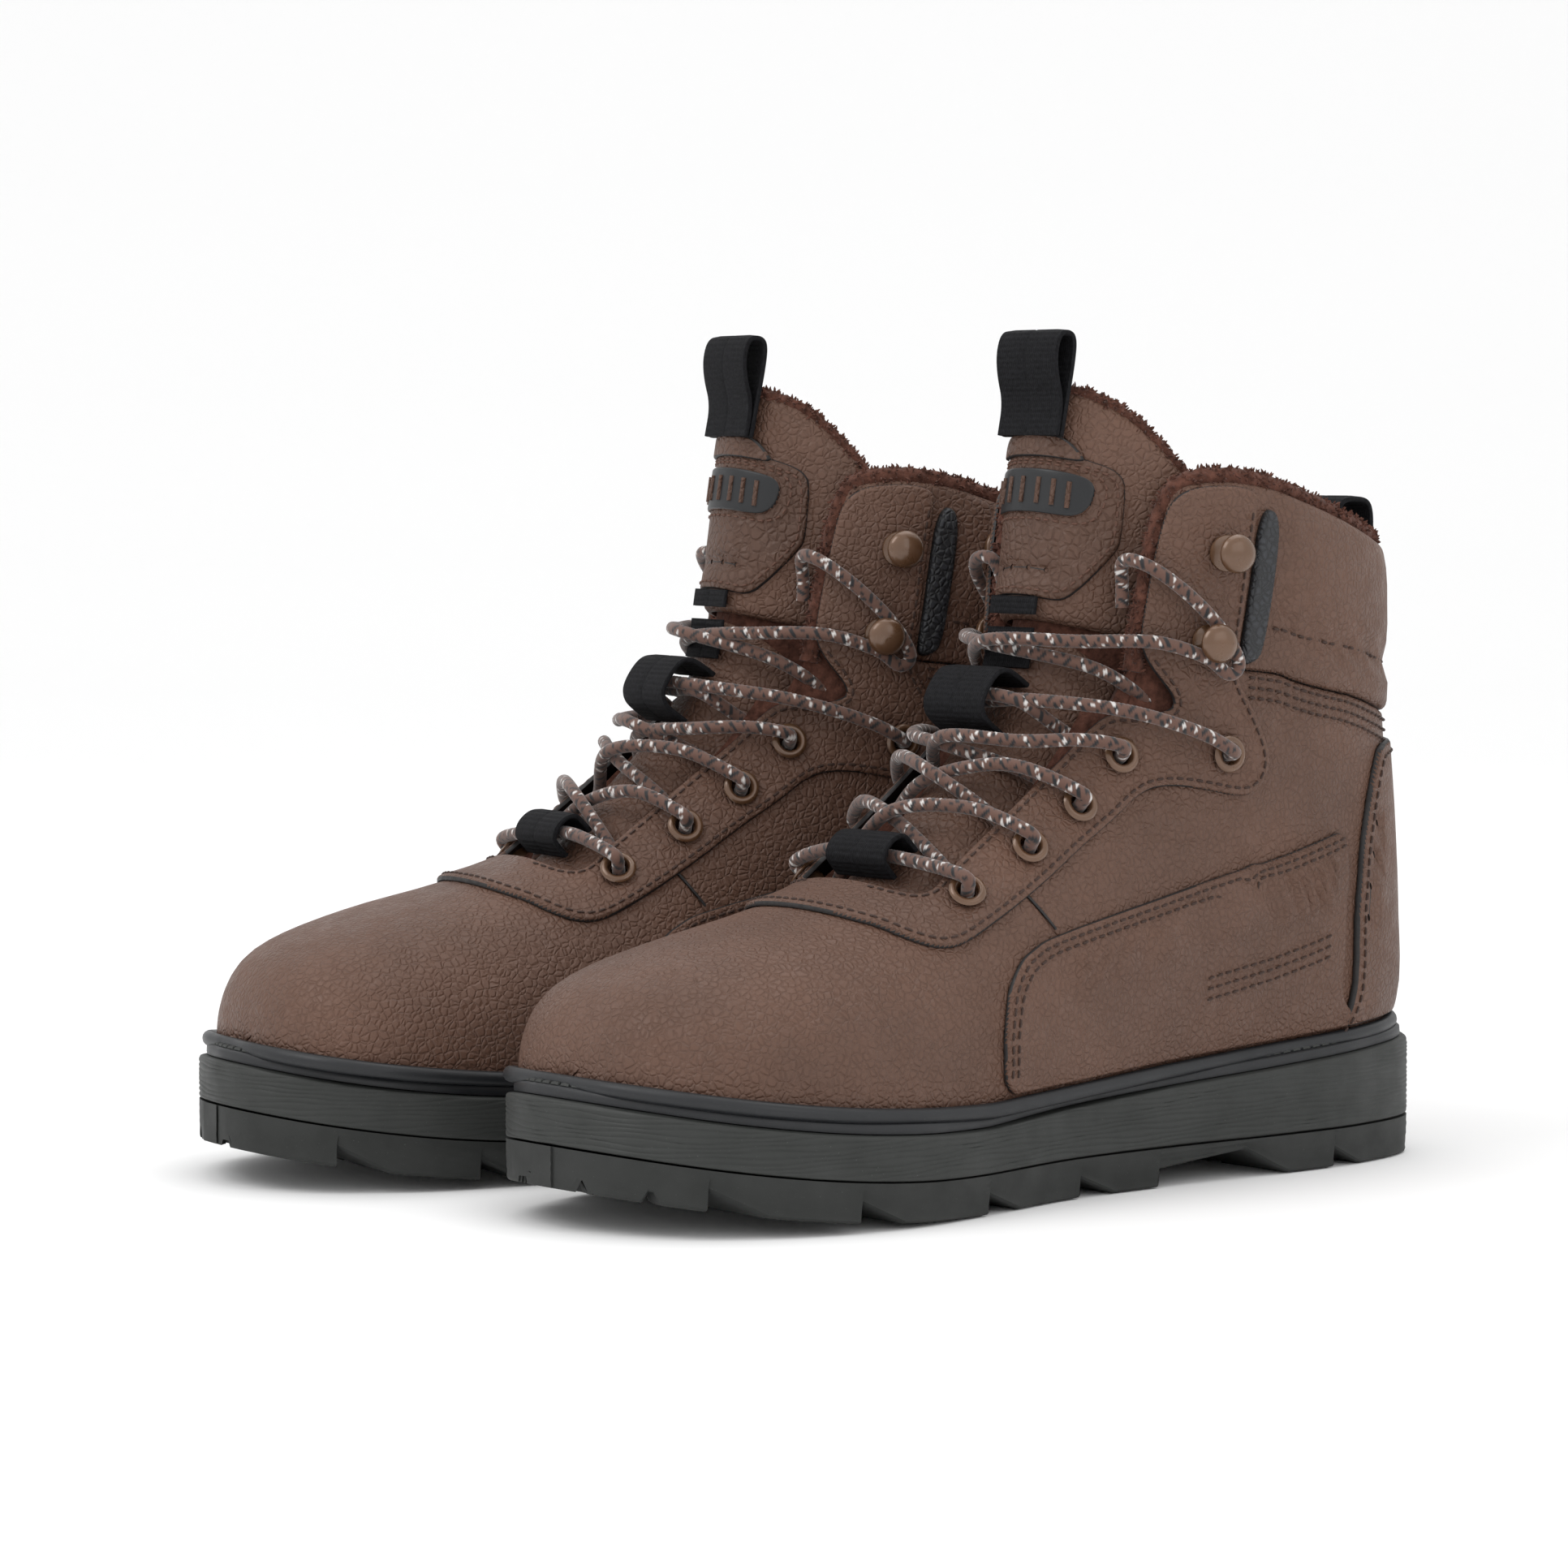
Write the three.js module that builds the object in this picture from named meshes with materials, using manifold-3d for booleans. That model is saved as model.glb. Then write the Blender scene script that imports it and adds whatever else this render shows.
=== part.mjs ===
// A pair of insulated lace-up hunting boots, in millimetres, +Z up, toes toward -Y.
// One boot is modelled in its own frame (lateral side +X, ground at z = 0, ball and heel
// centred on y = 0) and the right boot is its mirror image.
import * as THREE from 'three';
import { mergeVertices } from 'three/addons/utils/BufferGeometryUtils.js';
import Module from 'manifold-3d';

const wasm = await Module();
wasm.setup();

// ---- driving dimensions ----
const SOLE_LENGTH = 302;
const SOLE_WIDTH = 108;
const SHAFT_RAISE = 0; // extra shaft height above the standard cut
const TOE_SPRING = 11.5;
const OUTSOLE_THICKNESS = 11;
const FORE_SOLE_HEIGHT = 23.5;
const HEEL_RISE = 11.5;
const TREAD_DEPTH = 5.5;
const UPPER_THICKNESS = 2;
const OVERLAY_THICKNESS = 1.6;
const TAPE_THICKNESS = 0.6;
const LINING_THICKNESS = 4.2;
const TONGUE_THICKNESS = 4;
const WELT_HEIGHT = 3;
const WELT_INSET = 2.2;
const RAND_HEIGHT = 4;
const RAND_WIDTH = 3.6;
const BOARD_THICKNESS = 2;
const FOOTBED_THICKNESS = 5;
const LINING_RISE = 4; // how far the lining stands above the collar's edge
const FOOTBED_CLEARANCE = 1.6;
const SHANK_LENGTH = 110;
const SHANK_WIDTH = 16;
const SHANK_THICKNESS = 1.2;
const EYELET_BORE = 5.8;
const EYELET_WALL = 0.6;
const EYELET_FLANGE = 10;
const FLANGE_THICKNESS = 1.1;
const FLANGE_SEAT = 0.65; // the flange rides this high over the curved eyestay
const HOOK_DIAMETER = 10;
const HOOK_HEIGHT = 9.5;
const RIVET_DIAMETER = 3;
const LACE_DIAMETER = 3.8;
const WEBBING_WIDTH = 25;
const WEBBING_THICKNESS = 1.6;
const LOOP_LENGTH = 30;
const LOOP_GAP = 7.8;
const HEEL_LOOP_RISE = 14; // top of the heel loop above the collar
const KEEPER_LENGTH = 12;
const PATCH_THICKNESS = 1.8;
const BADGE_THICKNESS = 1.2;
const STANCE = 110; // distance between the two boots' centre lines
const STAGGER = 31; // the right boot stands this much further forward
const TOE_OUT = 5; // degrees that each boot turns outward
const GAP = 0.3; // clearance between touching pieces

// ---- the last: rows of the upper's surface from toe tip to the top of the tongue ----
// front rail y, z | back rail y, z | lateral, medial half width | centre x |
// height share of the widest point | roundness above and below it
const LAST_LENGTH = 302;
const LAST_WIDTH = 108;
const ROWS = [
  [-142, 42, -142, 34, 8, 8, -6, 0.5, 2, 2],
  [-140.5, 52, -140.5, 26, 20, 20, -6, 0.45, 2.2, 2.2],
  [-136, 60, -136, 20, 30, 30, -5, 0.42, 2.3, 2.4],
  [-128, 66, -128, 17, 39, 39, -4, 0.4, 2.4, 2.6],
  [-114, 71, -113, 15, 46, 46, -2, 0.38, 2.4, 2.8],
  [-94, 76, -92, 14, 50, 49, 0, 0.36, 2.4, 3],
  [-72, 81, -68, 13, 51, 49, 0, 0.36, 2.3, 3],
  [-51, 87, -42, 13, 50, 47, 0, 0.38, 2.3, 3],
  [-38, 97, -14, 14, 48, 45, 0, 0.42, 2.3, 2.9],
  [-26, 108, 16, 15, 46, 42, 0, 0.46, 2.3, 2.8],
  [-14, 120, 50, 17, 44, 40, 0, 0.5, 2.3, 2.7],
  [-3, 133, 92, 20, 43, 40, 0, 0.52, 2.3, 2.8],
  [5, 146, 127, 24, 43, 40, 0, 0.53, 2.3, 2.9],
  [10, 159, 143.5, 38, 43.5, 41, 0, 0.54, 2.3, 2.6],
  [13, 172, 146.5, 62, 44, 42, 0, 0.54, 2.3, 2.3],
  [15, 185, 144, 92, 44.5, 43, 0, 0.54, 2.3, 2.3],
  [17, 198, 140.5, 120, 45, 43, 0, 0.54, 2.3, 2.3],
  [19, 210, 138.5, 145, 45, 43, 0, 0.54, 2.3, 2.3],
  [21.5, 222, 138.5, 168, 44, 42, 0, 0.54, 2.3, 2.3],
  [24, 234, 139, 188, 43, 41, 0, 0.54, 2.3, 2.3],
];
const LAST_ROW = ROWS.length - 1;

// lengthwise, crosswise and upward sizes follow the sole and the shaft
const alongY = (y) => y * SOLE_LENGTH / LAST_LENGTH;
const acrossX = (x) => x * SOLE_WIDTH / LAST_WIDTH;
const ANKLE = 110; // height where the extra shaft height begins
const upZ = (z) => z + SHAFT_RAISE * THREE.MathUtils.clamp((z - ANKLE) / 80, 0, 1);

const catmull = (a, b, c, d, t) => 0.5 * (2 * b + (c - a) * t
  + (2 * a - 5 * b + 4 * c - d) * t * t + (3 * b - a - 3 * c + d) * t * t * t);

function rowAt(s) {
  const i = THREE.MathUtils.clamp(Math.floor(s), 0, LAST_ROW - 1);
  const near = [i - 1, i, i + 1, i + 2].map((k) => ROWS[THREE.MathUtils.clamp(k, 0, LAST_ROW)]);
  return near[1].map((_, k) => catmull(near[0][k], near[1][k], near[2][k], near[3][k], s - i));
}

// a point on the last: s counts rows from the toe, angle 0 is the front rail, +90 deg lateral
function lastPoint(s, angle) {
  const [fy, fz, by, bz, lateral, medial, cx, widest, above, below] = rowAt(s);
  const c = Math.cos(angle);
  const n = Math.sin(angle);
  const power = 2 / (c >= 0 ? above : below);
  const rise = Math.abs(c) ** power;
  const v = c >= 0 ? widest + (1 - widest) * rise : widest - widest * rise;
  const half = n >= 0 ? lateral : medial;
  const x = cx + Math.sign(n) * half * Math.abs(n) ** power;
  return new THREE.Vector3(acrossX(x), alongY(by + (fy - by) * v), upZ(bz + (fz - bz) * v));
}

function lastNormal(s, angle) {
  const ds = lastPoint(Math.min(s + 0.02, LAST_ROW), angle).sub(lastPoint(Math.max(s - 0.02, 0), angle));
  const da = lastPoint(s, angle + 0.005).sub(lastPoint(s, angle - 0.005));
  return da.cross(ds).normalize();
}

const surfacePoint = (s, angle, lift) => lastPoint(s, angle).addScaledVector(lastNormal(s, angle), lift);

// ---- solids ----
function solidFrom(geometry) {
  geometry.deleteAttribute('normal');
  geometry.deleteAttribute('uv');
  const merged = mergeVertices(geometry, 1e-4);
  return new wasm.Manifold(new wasm.Mesh({
    numProp: 3,
    vertProperties: new Float32Array(merged.attributes.position.array),
    triVerts: new Uint32Array(merged.index.array),
  }));
}

function geometryFrom(solid, mirrored) {
  const mesh = solid.getMesh();
  const geometry = new THREE.BufferGeometry();
  const position = Float32Array.from(mesh.vertProperties);
  const index = Uint32Array.from(mesh.triVerts);
  if (mirrored) {
    for (let i = 0; i < position.length; i += 3) position[i] = -position[i];
    index.reverse();
  }
  geometry.setAttribute('position', new THREE.BufferAttribute(position, 3));
  geometry.setIndex(new THREE.BufferAttribute(index, 1));
  geometry.computeVertexNormals();
  return geometry;
}

function signedVolume(position, index) {
  const corner = (k) => new THREE.Vector3().fromArray(position, 3 * index[k]);
  let volume = 0;
  for (let k = 0; k < index.length; k += 3) volume += corner(k).dot(corner(k + 1).cross(corner(k + 2))) / 6;
  return volume;
}

// closed solid from two matching grids of points, outer and inner
function slab(outer, inner) {
  const rows = outer.length;
  const columns = outer[0].length;
  const position = [...outer.flat(), ...inner.flat()].flatMap((p) => [p.x, p.y, p.z]);
  const index = [];
  const quad = (a, b, c, d) => index.push(a, b, c, a, c, d);
  const at = (r, c, side) => side * rows * columns + r * columns + c;
  for (let r = 0; r < rows - 1; r += 1) {
    for (let c = 0; c < columns - 1; c += 1) {
      quad(at(r, c, 0), at(r, c + 1, 0), at(r + 1, c + 1, 0), at(r + 1, c, 0));
      quad(at(r, c, 1), at(r + 1, c, 1), at(r + 1, c + 1, 1), at(r, c + 1, 1));
    }
    quad(at(r, 0, 0), at(r + 1, 0, 0), at(r + 1, 0, 1), at(r, 0, 1));
    quad(at(r, columns - 1, 0), at(r, columns - 1, 1), at(r + 1, columns - 1, 1), at(r + 1, columns - 1, 0));
  }
  for (let c = 0; c < columns - 1; c += 1) {
    quad(at(0, c, 0), at(0, c, 1), at(0, c + 1, 1), at(0, c + 1, 0));
    quad(at(rows - 1, c, 0), at(rows - 1, c + 1, 0), at(rows - 1, c + 1, 1), at(rows - 1, c, 1));
  }
  const geometry = new THREE.BufferGeometry();
  geometry.setAttribute('position', new THREE.Float32BufferAttribute(position, 3));
  geometry.setIndex(signedVolume(position, index) < 0 ? index.reverse() : index);
  return solidFrom(geometry);
}

// the whole last grown (or shrunk) by lift, as a closed solid
const FINE = { turns: 14, rows: [0, 1.4, 2.6, 4, 5.5, 7, 8.5, 10, 11.5, 13, 14.5, 16, LAST_ROW] };
const lastCache = new Map();
function lastSolid(lift, grain = FINE) {
  const key = `${lift} ${grain.turns}`;
  if (lastCache.has(key)) return lastCache.get(key);
  const { turns, rows } = grain;
  const position = [];
  const index = [];
  const push = (p) => position.push(p.x, p.y, p.z);
  for (const s of rows) {
    for (let k = 0; k < turns; k += 1) push(surfacePoint(s, (k / turns) * 2 * Math.PI, lift));
  }
  const centre = (r) => {
    const middle = new THREE.Vector3();
    for (let k = 0; k < turns; k += 1) {
      const at = (r * turns + k) * 3;
      middle.add(new THREE.Vector3(position[at], position[at + 1], position[at + 2]));
    }
    push(middle.divideScalar(turns));
    return position.length / 3 - 1;
  };
  const top = rows.length - 1;
  const toeCentre = centre(0);
  const topCentre = centre(top);
  for (let k = 0; k < turns; k += 1) {
    const next = (k + 1) % turns;
    for (let r = 0; r < top; r += 1) {
      const a = r * turns;
      const b = a + turns;
      index.push(a + k, a + next, b + next, a + k, b + next, b + k);
    }
    index.push(toeCentre, next, k);
    index.push(topCentre, top * turns + k, top * turns + next);
  }
  const geometry = new THREE.BufferGeometry();
  geometry.setAttribute('position', new THREE.Float32BufferAttribute(position, 3));
  geometry.setIndex(index);
  lastCache.set(key, solidFrom(geometry));
  return lastCache.get(key);
}

const shell = (inner, outer, grain) => lastSolid(outer, grain).subtract(lastSolid(inner, grain));

// extrusion of a side-view outline (y, z) across x
const REACH = 130;
function sideCut(points, from = -REACH, to = REACH) {
  const shape = new THREE.Shape(points.map(([y, z]) => new THREE.Vector2(y, z)));
  const geometry = new THREE.ExtrudeGeometry(shape, { depth: to - from, bevelEnabled: false });
  const turn = new THREE.Matrix4().makeBasis(
    new THREE.Vector3(0, 1, 0), new THREE.Vector3(0, 0, 1), new THREE.Vector3(1, 0, 0));
  geometry.translate(0, 0, from);
  geometry.applyMatrix4(turn);
  return solidFrom(geometry);
}
const fitted = (points) => points.map(([y, z]) => [alongY(y), upZ(z)]);
const sidePanel = (points, from, to) => sideCut(fitted(points), from, to);

// largest piece of a cut result
const mainPiece = (solid) => solid.decompose().reduce((a, b) => (a.volume() > b.volume() ? a : b));

// ---- sole outline and heights ----
const SOLE_POINTS = [[2, 151], [30, 139], [41, 110], [43, 75], [42, 35], [44, -5], [53, -45], [57, -75],
  [51, -108], [32, -137], [-6, -151], [-36, -139], [-51, -108], [-54, -70], [-49, -35], [-40, 5],
  [-36, 45], [-38, 90], [-35, 125], [-20, 146]];
const soleCurve = new THREE.CatmullRomCurve3(
  SOLE_POINTS.map(([x, y]) => new THREE.Vector3(acrossX(x), alongY(y), 0)), true, 'catmullrom', 0.5);
const SOLE_STEPS = 32;

function soleOutline(inset) {
  const points = [];
  for (let k = 0; k < SOLE_STEPS; k += 1) {
    const p = soleCurve.getPoint(k / SOLE_STEPS);
    const t = soleCurve.getTangent(k / SOLE_STEPS);
    points.push(new THREE.Vector2(p.x - t.y * inset * -1, p.y + t.x * inset * -1));
  }
  return points.reverse();
}
function soleColumn(inset) {
  const outline = new THREE.Shape(soleOutline(inset));
  const column = new THREE.ExtrudeGeometry(outline, { depth: 100, bevelEnabled: false });
  return solidFrom(column.translate(0, 0, -10));
}

const BALL_Y = -40;
const toeLift = (y) => TOE_SPRING * Math.max((alongY(BALL_Y) - y) / (SOLE_LENGTH / 2 + alongY(BALL_Y)), 0) ** 2;
const heelShare = (y) => THREE.MathUtils.clamp((y - alongY(BALL_Y)) / (0.63 * SOLE_LENGTH), 0, 1);
const soleTop = (y) => FORE_SOLE_HEIGHT + HEEL_RISE * heelShare(y) + toeLift(y);
const parting = (y) => OUTSOLE_THICKNESS + toeLift(y);

const END = SOLE_LENGTH / 2 + 12;
const SAMPLES = 8;
const sampled = (height, lift = 0) => Array.from({ length: SAMPLES + 1 }, (_, k) => {
  const y = -END + (k / SAMPLES) * 2 * END;
  return [y, height(y) + lift];
});
// band between two height curves, cut straight across the boot
const band = (low, lowLift, high, highLift) => sideCut([
  ...sampled(low, lowLift), ...sampled(high, highLift).reverse()]);
const CEILING = () => 400;

// ---- sole unit ----
const NOTCHES = [-129, -90, -43, -2];
const NOTCH_RUN = 14;
const ARCH = [[29, 5], [62, 8], [72, 3], [79, 0]];
const HEEL_NOTCH = [97, 109];

function treadProfile() {
  const low = [[-END, toeLift(-END)], [alongY(-140), toeLift(alongY(-140))]];
  for (const notch of NOTCHES) {
    const y = alongY(notch);
    low.push([y, toeLift(y)], [y + 0.4, toeLift(y) + TREAD_DEPTH]);
    low.push([y + NOTCH_RUN, toeLift(y + NOTCH_RUN)]);
  }
  low.push([alongY(ARCH[0][0]) - 0.4, 0]);
  for (const [y, z] of ARCH) low.push([alongY(y), z]);
  low.push([alongY(HEEL_NOTCH[0]), 0], [alongY(HEEL_NOTCH[0]) + 0.4, TREAD_DEPTH]);
  low.push([alongY(HEEL_NOTCH[1]), 0], [END, 0]);
  return low;
}

function soleUnit() {
  const column = soleColumn(0);
  const tread = sideCut([...treadProfile(), ...sampled(parting).reverse()]);
  const grooveEnd = alongY(-120);
  const groove = sideCut([[grooveEnd, -5], [alongY(20), -5], [alongY(20), 4], [grooveEnd, 4 + toeLift(grooveEnd)]], -3, 3);
  const outsole = column.intersect(tread).subtract(groove);
  const shankBox = new THREE.BoxGeometry(SHANK_WIDTH, SHANK_LENGTH, SHANK_THICKNESS);
  const shankSlope = Math.atan(HEEL_RISE / (0.63 * SOLE_LENGTH));
  const place = (geometry) => geometry.rotateX(shankSlope)
    .translate(0, alongY(45), soleTop(alongY(45)) - SHANK_THICKNESS / 2 - GAP);
  const pocketBox = new THREE.BoxGeometry(SHANK_WIDTH + 2 * GAP, SHANK_LENGTH + 2 * GAP, SHANK_THICKNESS + 4 * GAP);
  const midsole = column.intersect(band(parting, GAP, soleTop, 0)).subtract(solidFrom(place(pocketBox)));
  const welt = soleColumn(WELT_INSET).intersect(band(soleTop, GAP, soleTop, WELT_HEIGHT))
    .subtract(lastSolid(GAP));
  const rand = shell(GAP, GAP + RAND_WIDTH)
    .intersect(band(soleTop, WELT_HEIGHT + GAP, soleTop, WELT_HEIGHT + GAP + RAND_HEIGHT));
  return { outsole, midsole: mainPiece(midsole), shank: solidFrom(place(shankBox)), welt, rand: mainPiece(rand) };
}

// ---- layers of the upper, as lifts from the last's surface ----
const OVERLAY_OUT = GAP + OVERLAY_THICKNESS;
const TAPE_OUT = -UPPER_THICKNESS - GAP;
const TAPE_SINK = 0.8; // the tape spans straight between eyelets, so it lies this much deeper
const TAPE_IN = TAPE_OUT - TAPE_THICKNESS;
const LINING_OUT = TAPE_IN - GAP;
const LINING_IN = LINING_OUT - LINING_THICKNESS;
const RAND_TOP = WELT_HEIGHT + GAP + RAND_HEIGHT;

// ---- pattern lines, side view (y, z) ----
const THROAT = [[-54, 260], [-52, 84], [-45, 82.5], [-36, 91], [-14, 107], [2, 119], [14, 130], [19, 133.5],
  [27, 132], [39, 134.5], [31, 146], [28.5, 153], [31, 167], [34, 183], [36, 194], [36, 260]];
// the vamp, quarters and collar stop short of the eyelets, which only the eyestay carries
const BASE_THROAT = [[-58, 260], [-57, 80], [-46, 77.5], [-36, 79], [-10, 91], [22, 113], [54, 115.5], [59, 123],
  [52, 132], [34, 147], [33, 168], [38, 192], [38, 260]];
const EYESTAY_EDGE = [[-69, 96], [-68, 80], [-60, 75], [-51, 71.5], [-41, 73], [-25, 81], [-9, 90], [11, 102],
  [24, 112], [44, 111], [58, 108.5], [65, 112], [68, 119], [66, 127], [58, 139], [55, 149], [57, 161], [62, 230]];
const COLLAR_TOP = [[20, 192], [36, 193], [42, 196.5], [58, 197], [85, 190.5], [117, 180.5], [142, 178], [170, 178]];
const COLLAR_SEAM = [[-10, 148], [56, 144], [111, 135], [170, 131]];
const VAMP_SEAM = [[-40, 130], [-22, 88], [-12, 75], [-5, -20]];
const OVERLAY_EDGE = [[-36, 10], [-37, 40], [-35, 57], [-29, 66], [-20, 71], [-5, 75], [25, 81], [49, 86], [74, 91],
  [100, 98]];
const COUNTER_EDGE = [[98, 10], [99, 70], [104, 92], [110, 113], [119, 127], [170, 127]];
const LINING_WINDOW = [[-64, 260], [-62, 74], [-40, 64], [-20, 74], [0, 86], [20, 98], [40, 101], [64, 107],
  [69, 124], [60, 142], [42, 146], [31, 153], [33, 167], [36, 183], [38, 194], [38, 260]];

const EYELETS = [[7.9, 0.74], [9.3, 0.84], [10.4, 0.9], [11.5, 0.9], [13.0, 1.31]]; // row, angle
const HOOKS = { lower: [14.4, 1.14], upper: [16.0, 1.21] };

// a frame on the last: +Z of the returned matrix is the surface's outward normal
function surfaceFrame(s, angle, lift = 0) {
  const normal = lastNormal(s, angle);
  const up = lastPoint(Math.min(s + 0.1, LAST_ROW), angle).sub(lastPoint(s - 0.1, angle)).normalize();
  const side = up.clone().cross(normal).normalize();
  const along = normal.clone().cross(side);
  return new THREE.Matrix4().makeBasis(side, along, normal).setPosition(surfacePoint(s, angle, lift));
}

function lathe(profile, steps, matrix) {
  const points = profile.map(([r, z]) => new THREE.Vector2(r, z));
  const geometry = new THREE.LatheGeometry(points, steps);
  geometry.rotateX(Math.PI / 2);
  const solid = solidFrom(geometry.applyMatrix4(matrix));
  return solid;
}

const EYELET_SIDES = 6;
const pin = (radius, low, high, matrix, steps = EYELET_SIDES) => lathe(
  [[0, low], [radius, low], [radius, high], [0, high]], steps, matrix);

const BARREL = EYELET_BORE / 2 + EYELET_WALL;
const BOTH = [1, -1];
function piercings(radius, places) {
  const cutters = places.flatMap(([s, a]) => BOTH.map((side) => pin(radius, -9, 9, surfaceFrame(s, a * side))));
  return wasm.Manifold.union(cutters);
}

// a narrow tape under the eyelets, following the surface from the first to the last
const TAPE_WIDTH = 10;
function eyeletTape(side) {
  const places = [[EYELETS[0][0] - 0.35, EYELETS[0][1] - 0.03], ...EYELETS,
    [EYELETS[4][0] + 0.25, EYELETS[4][1] + 0.13]];
  const line = places.map(([s, a]) => surfacePoint(s, a * side, 0));
  const grid = (lift) => places.map(([s, a], k) => {
    const run = line[Math.min(k + 1, line.length - 1)].clone().sub(line[Math.max(k - 1, 0)]).normalize();
    const normal = lastNormal(s, a * side);
    const across = run.cross(normal).normalize();
    return [1, 0, -1].map((w) => line[k].clone().addScaledVector(normal, lift)
      .addScaledVector(across, w * TAPE_WIDTH / 2));
  });
  return slab(grid(TAPE_OUT - TAPE_SINK), grid(TAPE_IN - TAPE_SINK));
}

function eyeletRow(side) {
  let row = eyeletTape(side);
  const top = OVERLAY_OUT + FLANGE_SEAT;
  const bore = EYELET_BORE / 2;
  const flange = EYELET_FLANGE / 2;
  const low = TAPE_IN - TAPE_SINK;
  const ring = [[bore, low], [BARREL, low], [BARREL, top], [flange, top],
    [bore, top + FLANGE_THICKNESS], [bore, low]];
  for (const [s, a] of EYELETS) {
    const frame = surfaceFrame(s, a * side);
    row = row.subtract(pin(bore + EYELET_WALL / 2, -9, 9, frame)).add(lathe(ring, EYELET_SIDES, frame));
  }
  return row;
}

function laceHook(side, [s, a]) {
  const base = OVERLAY_OUT + GAP;
  const radius = HOOK_DIAMETER / 2;
  const neck = radius * 0.42;
  const profile = [[0, -UPPER_THICKNESS + 0.2], [RIVET_DIAMETER / 2, -UPPER_THICKNESS + 0.2],
    [RIVET_DIAMETER / 2, base], [radius, base], [radius, base + 1], [neck, base + 1.6],
    [neck, base + HOOK_HEIGHT - 3.4], [radius, base + HOOK_HEIGHT - 2.8], [radius * 0.94, base + HOOK_HEIGHT - 1.4],
    [radius * 0.5, base + HOOK_HEIGHT - 0.2], [0, base + HOOK_HEIGHT]];
  return lathe(profile, 8, surfaceFrame(s, a * side));
}

function upper() {
  const aboveSole = band(soleTop, GAP, CEILING, 0);
  const aboveRand = band(soleTop, RAND_TOP + GAP, CEILING, 0);
  const throat = sidePanel(THROAT);
  const belowCollarTop = sidePanel([[-200, -20], [-200, 300], [19, 300], ...COLLAR_TOP, [170, -20]]);
  const eyeletHoles = piercings(BARREL + GAP, EYELETS);
  const rivetHoles = piercings(RIVET_DIAMETER / 2 + GAP, Object.values(HOOKS));
  const base = shell(-UPPER_THICKNESS, 0).intersect(aboveSole).subtract(sidePanel(BASE_THROAT))
    .intersect(belowCollarTop).subtract(rivetHoles);

  const shifted = (line, dy, dz) => line.map(([y, z]) => [y + dy, z + dz]);
  const vamp = base.intersect(sidePanel([[-200, -20], [-200, 130], ...VAMP_SEAM]));
  const behindVamp = base.intersect(sidePanel([
    ...shifted(VAMP_SEAM, GAP, 0).reverse(), [-40, 300], [200, 300], [200, -20]]));
  const quarters = behindVamp.intersect(sidePanel([[-60, -20], [-60, 148], ...COLLAR_SEAM, [170, -20]]));
  const collar = behindVamp.intersect(sidePanel([[-10, 300], ...shifted(COLLAR_SEAM, 0, GAP), [170, 300]]));

  const skin = shell(GAP, OVERLAY_OUT).intersect(aboveRand);
  const eyestay = skin.subtract(throat).intersect(belowCollarTop)
    .intersect(sidePanel([...EYESTAY_EDGE, [36, 230], [-69, 230]])).subtract(eyeletHoles).subtract(rivetHoles);
  const overlayOutline = [...OVERLAY_EDGE, [100, 10]];
  const counterOutline = [...shifted(COUNTER_EDGE, GAP + 2, 0), [170, 10]];
  const overlay = (from, to) => mainPiece(skin.intersect(sidePanel(overlayOutline, from, to))
    .subtract(sidePanel([...shifted(COUNTER_EDGE, 2, 0), [170, 10]])));
  const counter = skin.intersect(sidePanel(counterOutline));

  const belowLiningTop = sidePanel([[-200, -20], [-200, 300], [19, 300], ...shifted(COLLAR_TOP, 0, LINING_RISE),
    [170, -20]]);
  const lining = shell(LINING_IN, LINING_OUT).intersect(belowLiningTop).intersect(aboveSole)
    .subtract(sidePanel(LINING_WINDOW));
  return {
    vamp: mainPiece(vamp),
    quarters: mainPiece(quarters),
    collar: mainPiece(collar),
    eyestay: mainPiece(eyestay),
    overlay_lateral: overlay(0, REACH),
    overlay_medial: overlay(-REACH, 0),
    heel_counter: mainPiece(counter),
    lining: mainPiece(lining),
  };
}

// ---- inside the boot ----
function insides() {
  const room = lastSolid(LINING_IN - GAP);
  const board = room.intersect(band(soleTop, GAP, soleTop, GAP + BOARD_THICKNESS));
  const bedLow = GAP + BOARD_THICKNESS + GAP;
  const bed = lastSolid(LINING_IN - FOOTBED_CLEARANCE)
    .intersect(band(soleTop, bedLow, soleTop, bedLow + FOOTBED_THICKNESS));
  return { insole_board: mainPiece(board), footbed: mainPiece(bed) };
}

// ---- tongue: padded, in two parts either side of its ankle fold ----
const TONGUE_WING = LINING_IN - 2.4; // lift of the wings, below the laces' underside runs
const FOLD_ROW = 12.9;
const WING_ROW = 11.75; // the crown is wider above this row
const FOLD_GAP = 0.1;
const tongueHalf = (s) => THREE.MathUtils.lerp(0.86, 1.32, THREE.MathUtils.clamp((s - 8) / 6, 0, 1));
const crownLower = -4.8;
const crownUpper = -0.8;
const tongueCrown = (s) => THREE.MathUtils.lerp(crownLower, crownUpper, THREE.MathUtils.smoothstep(s, 11.5, 13.5));
function tongueLift(s, angle) {
  const share = THREE.MathUtils.clamp(Math.abs(angle) / (s > WING_ROW ? 0.74 : 0.62), 0, 1);
  return THREE.MathUtils.lerp(tongueCrown(s), TONGUE_WING, share * share * (3 - 2 * share));
}
const tongueTopRow = (angle) => 18.05 - 1.35 * (Math.abs(angle) / 1.32) ** 2.2;

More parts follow.
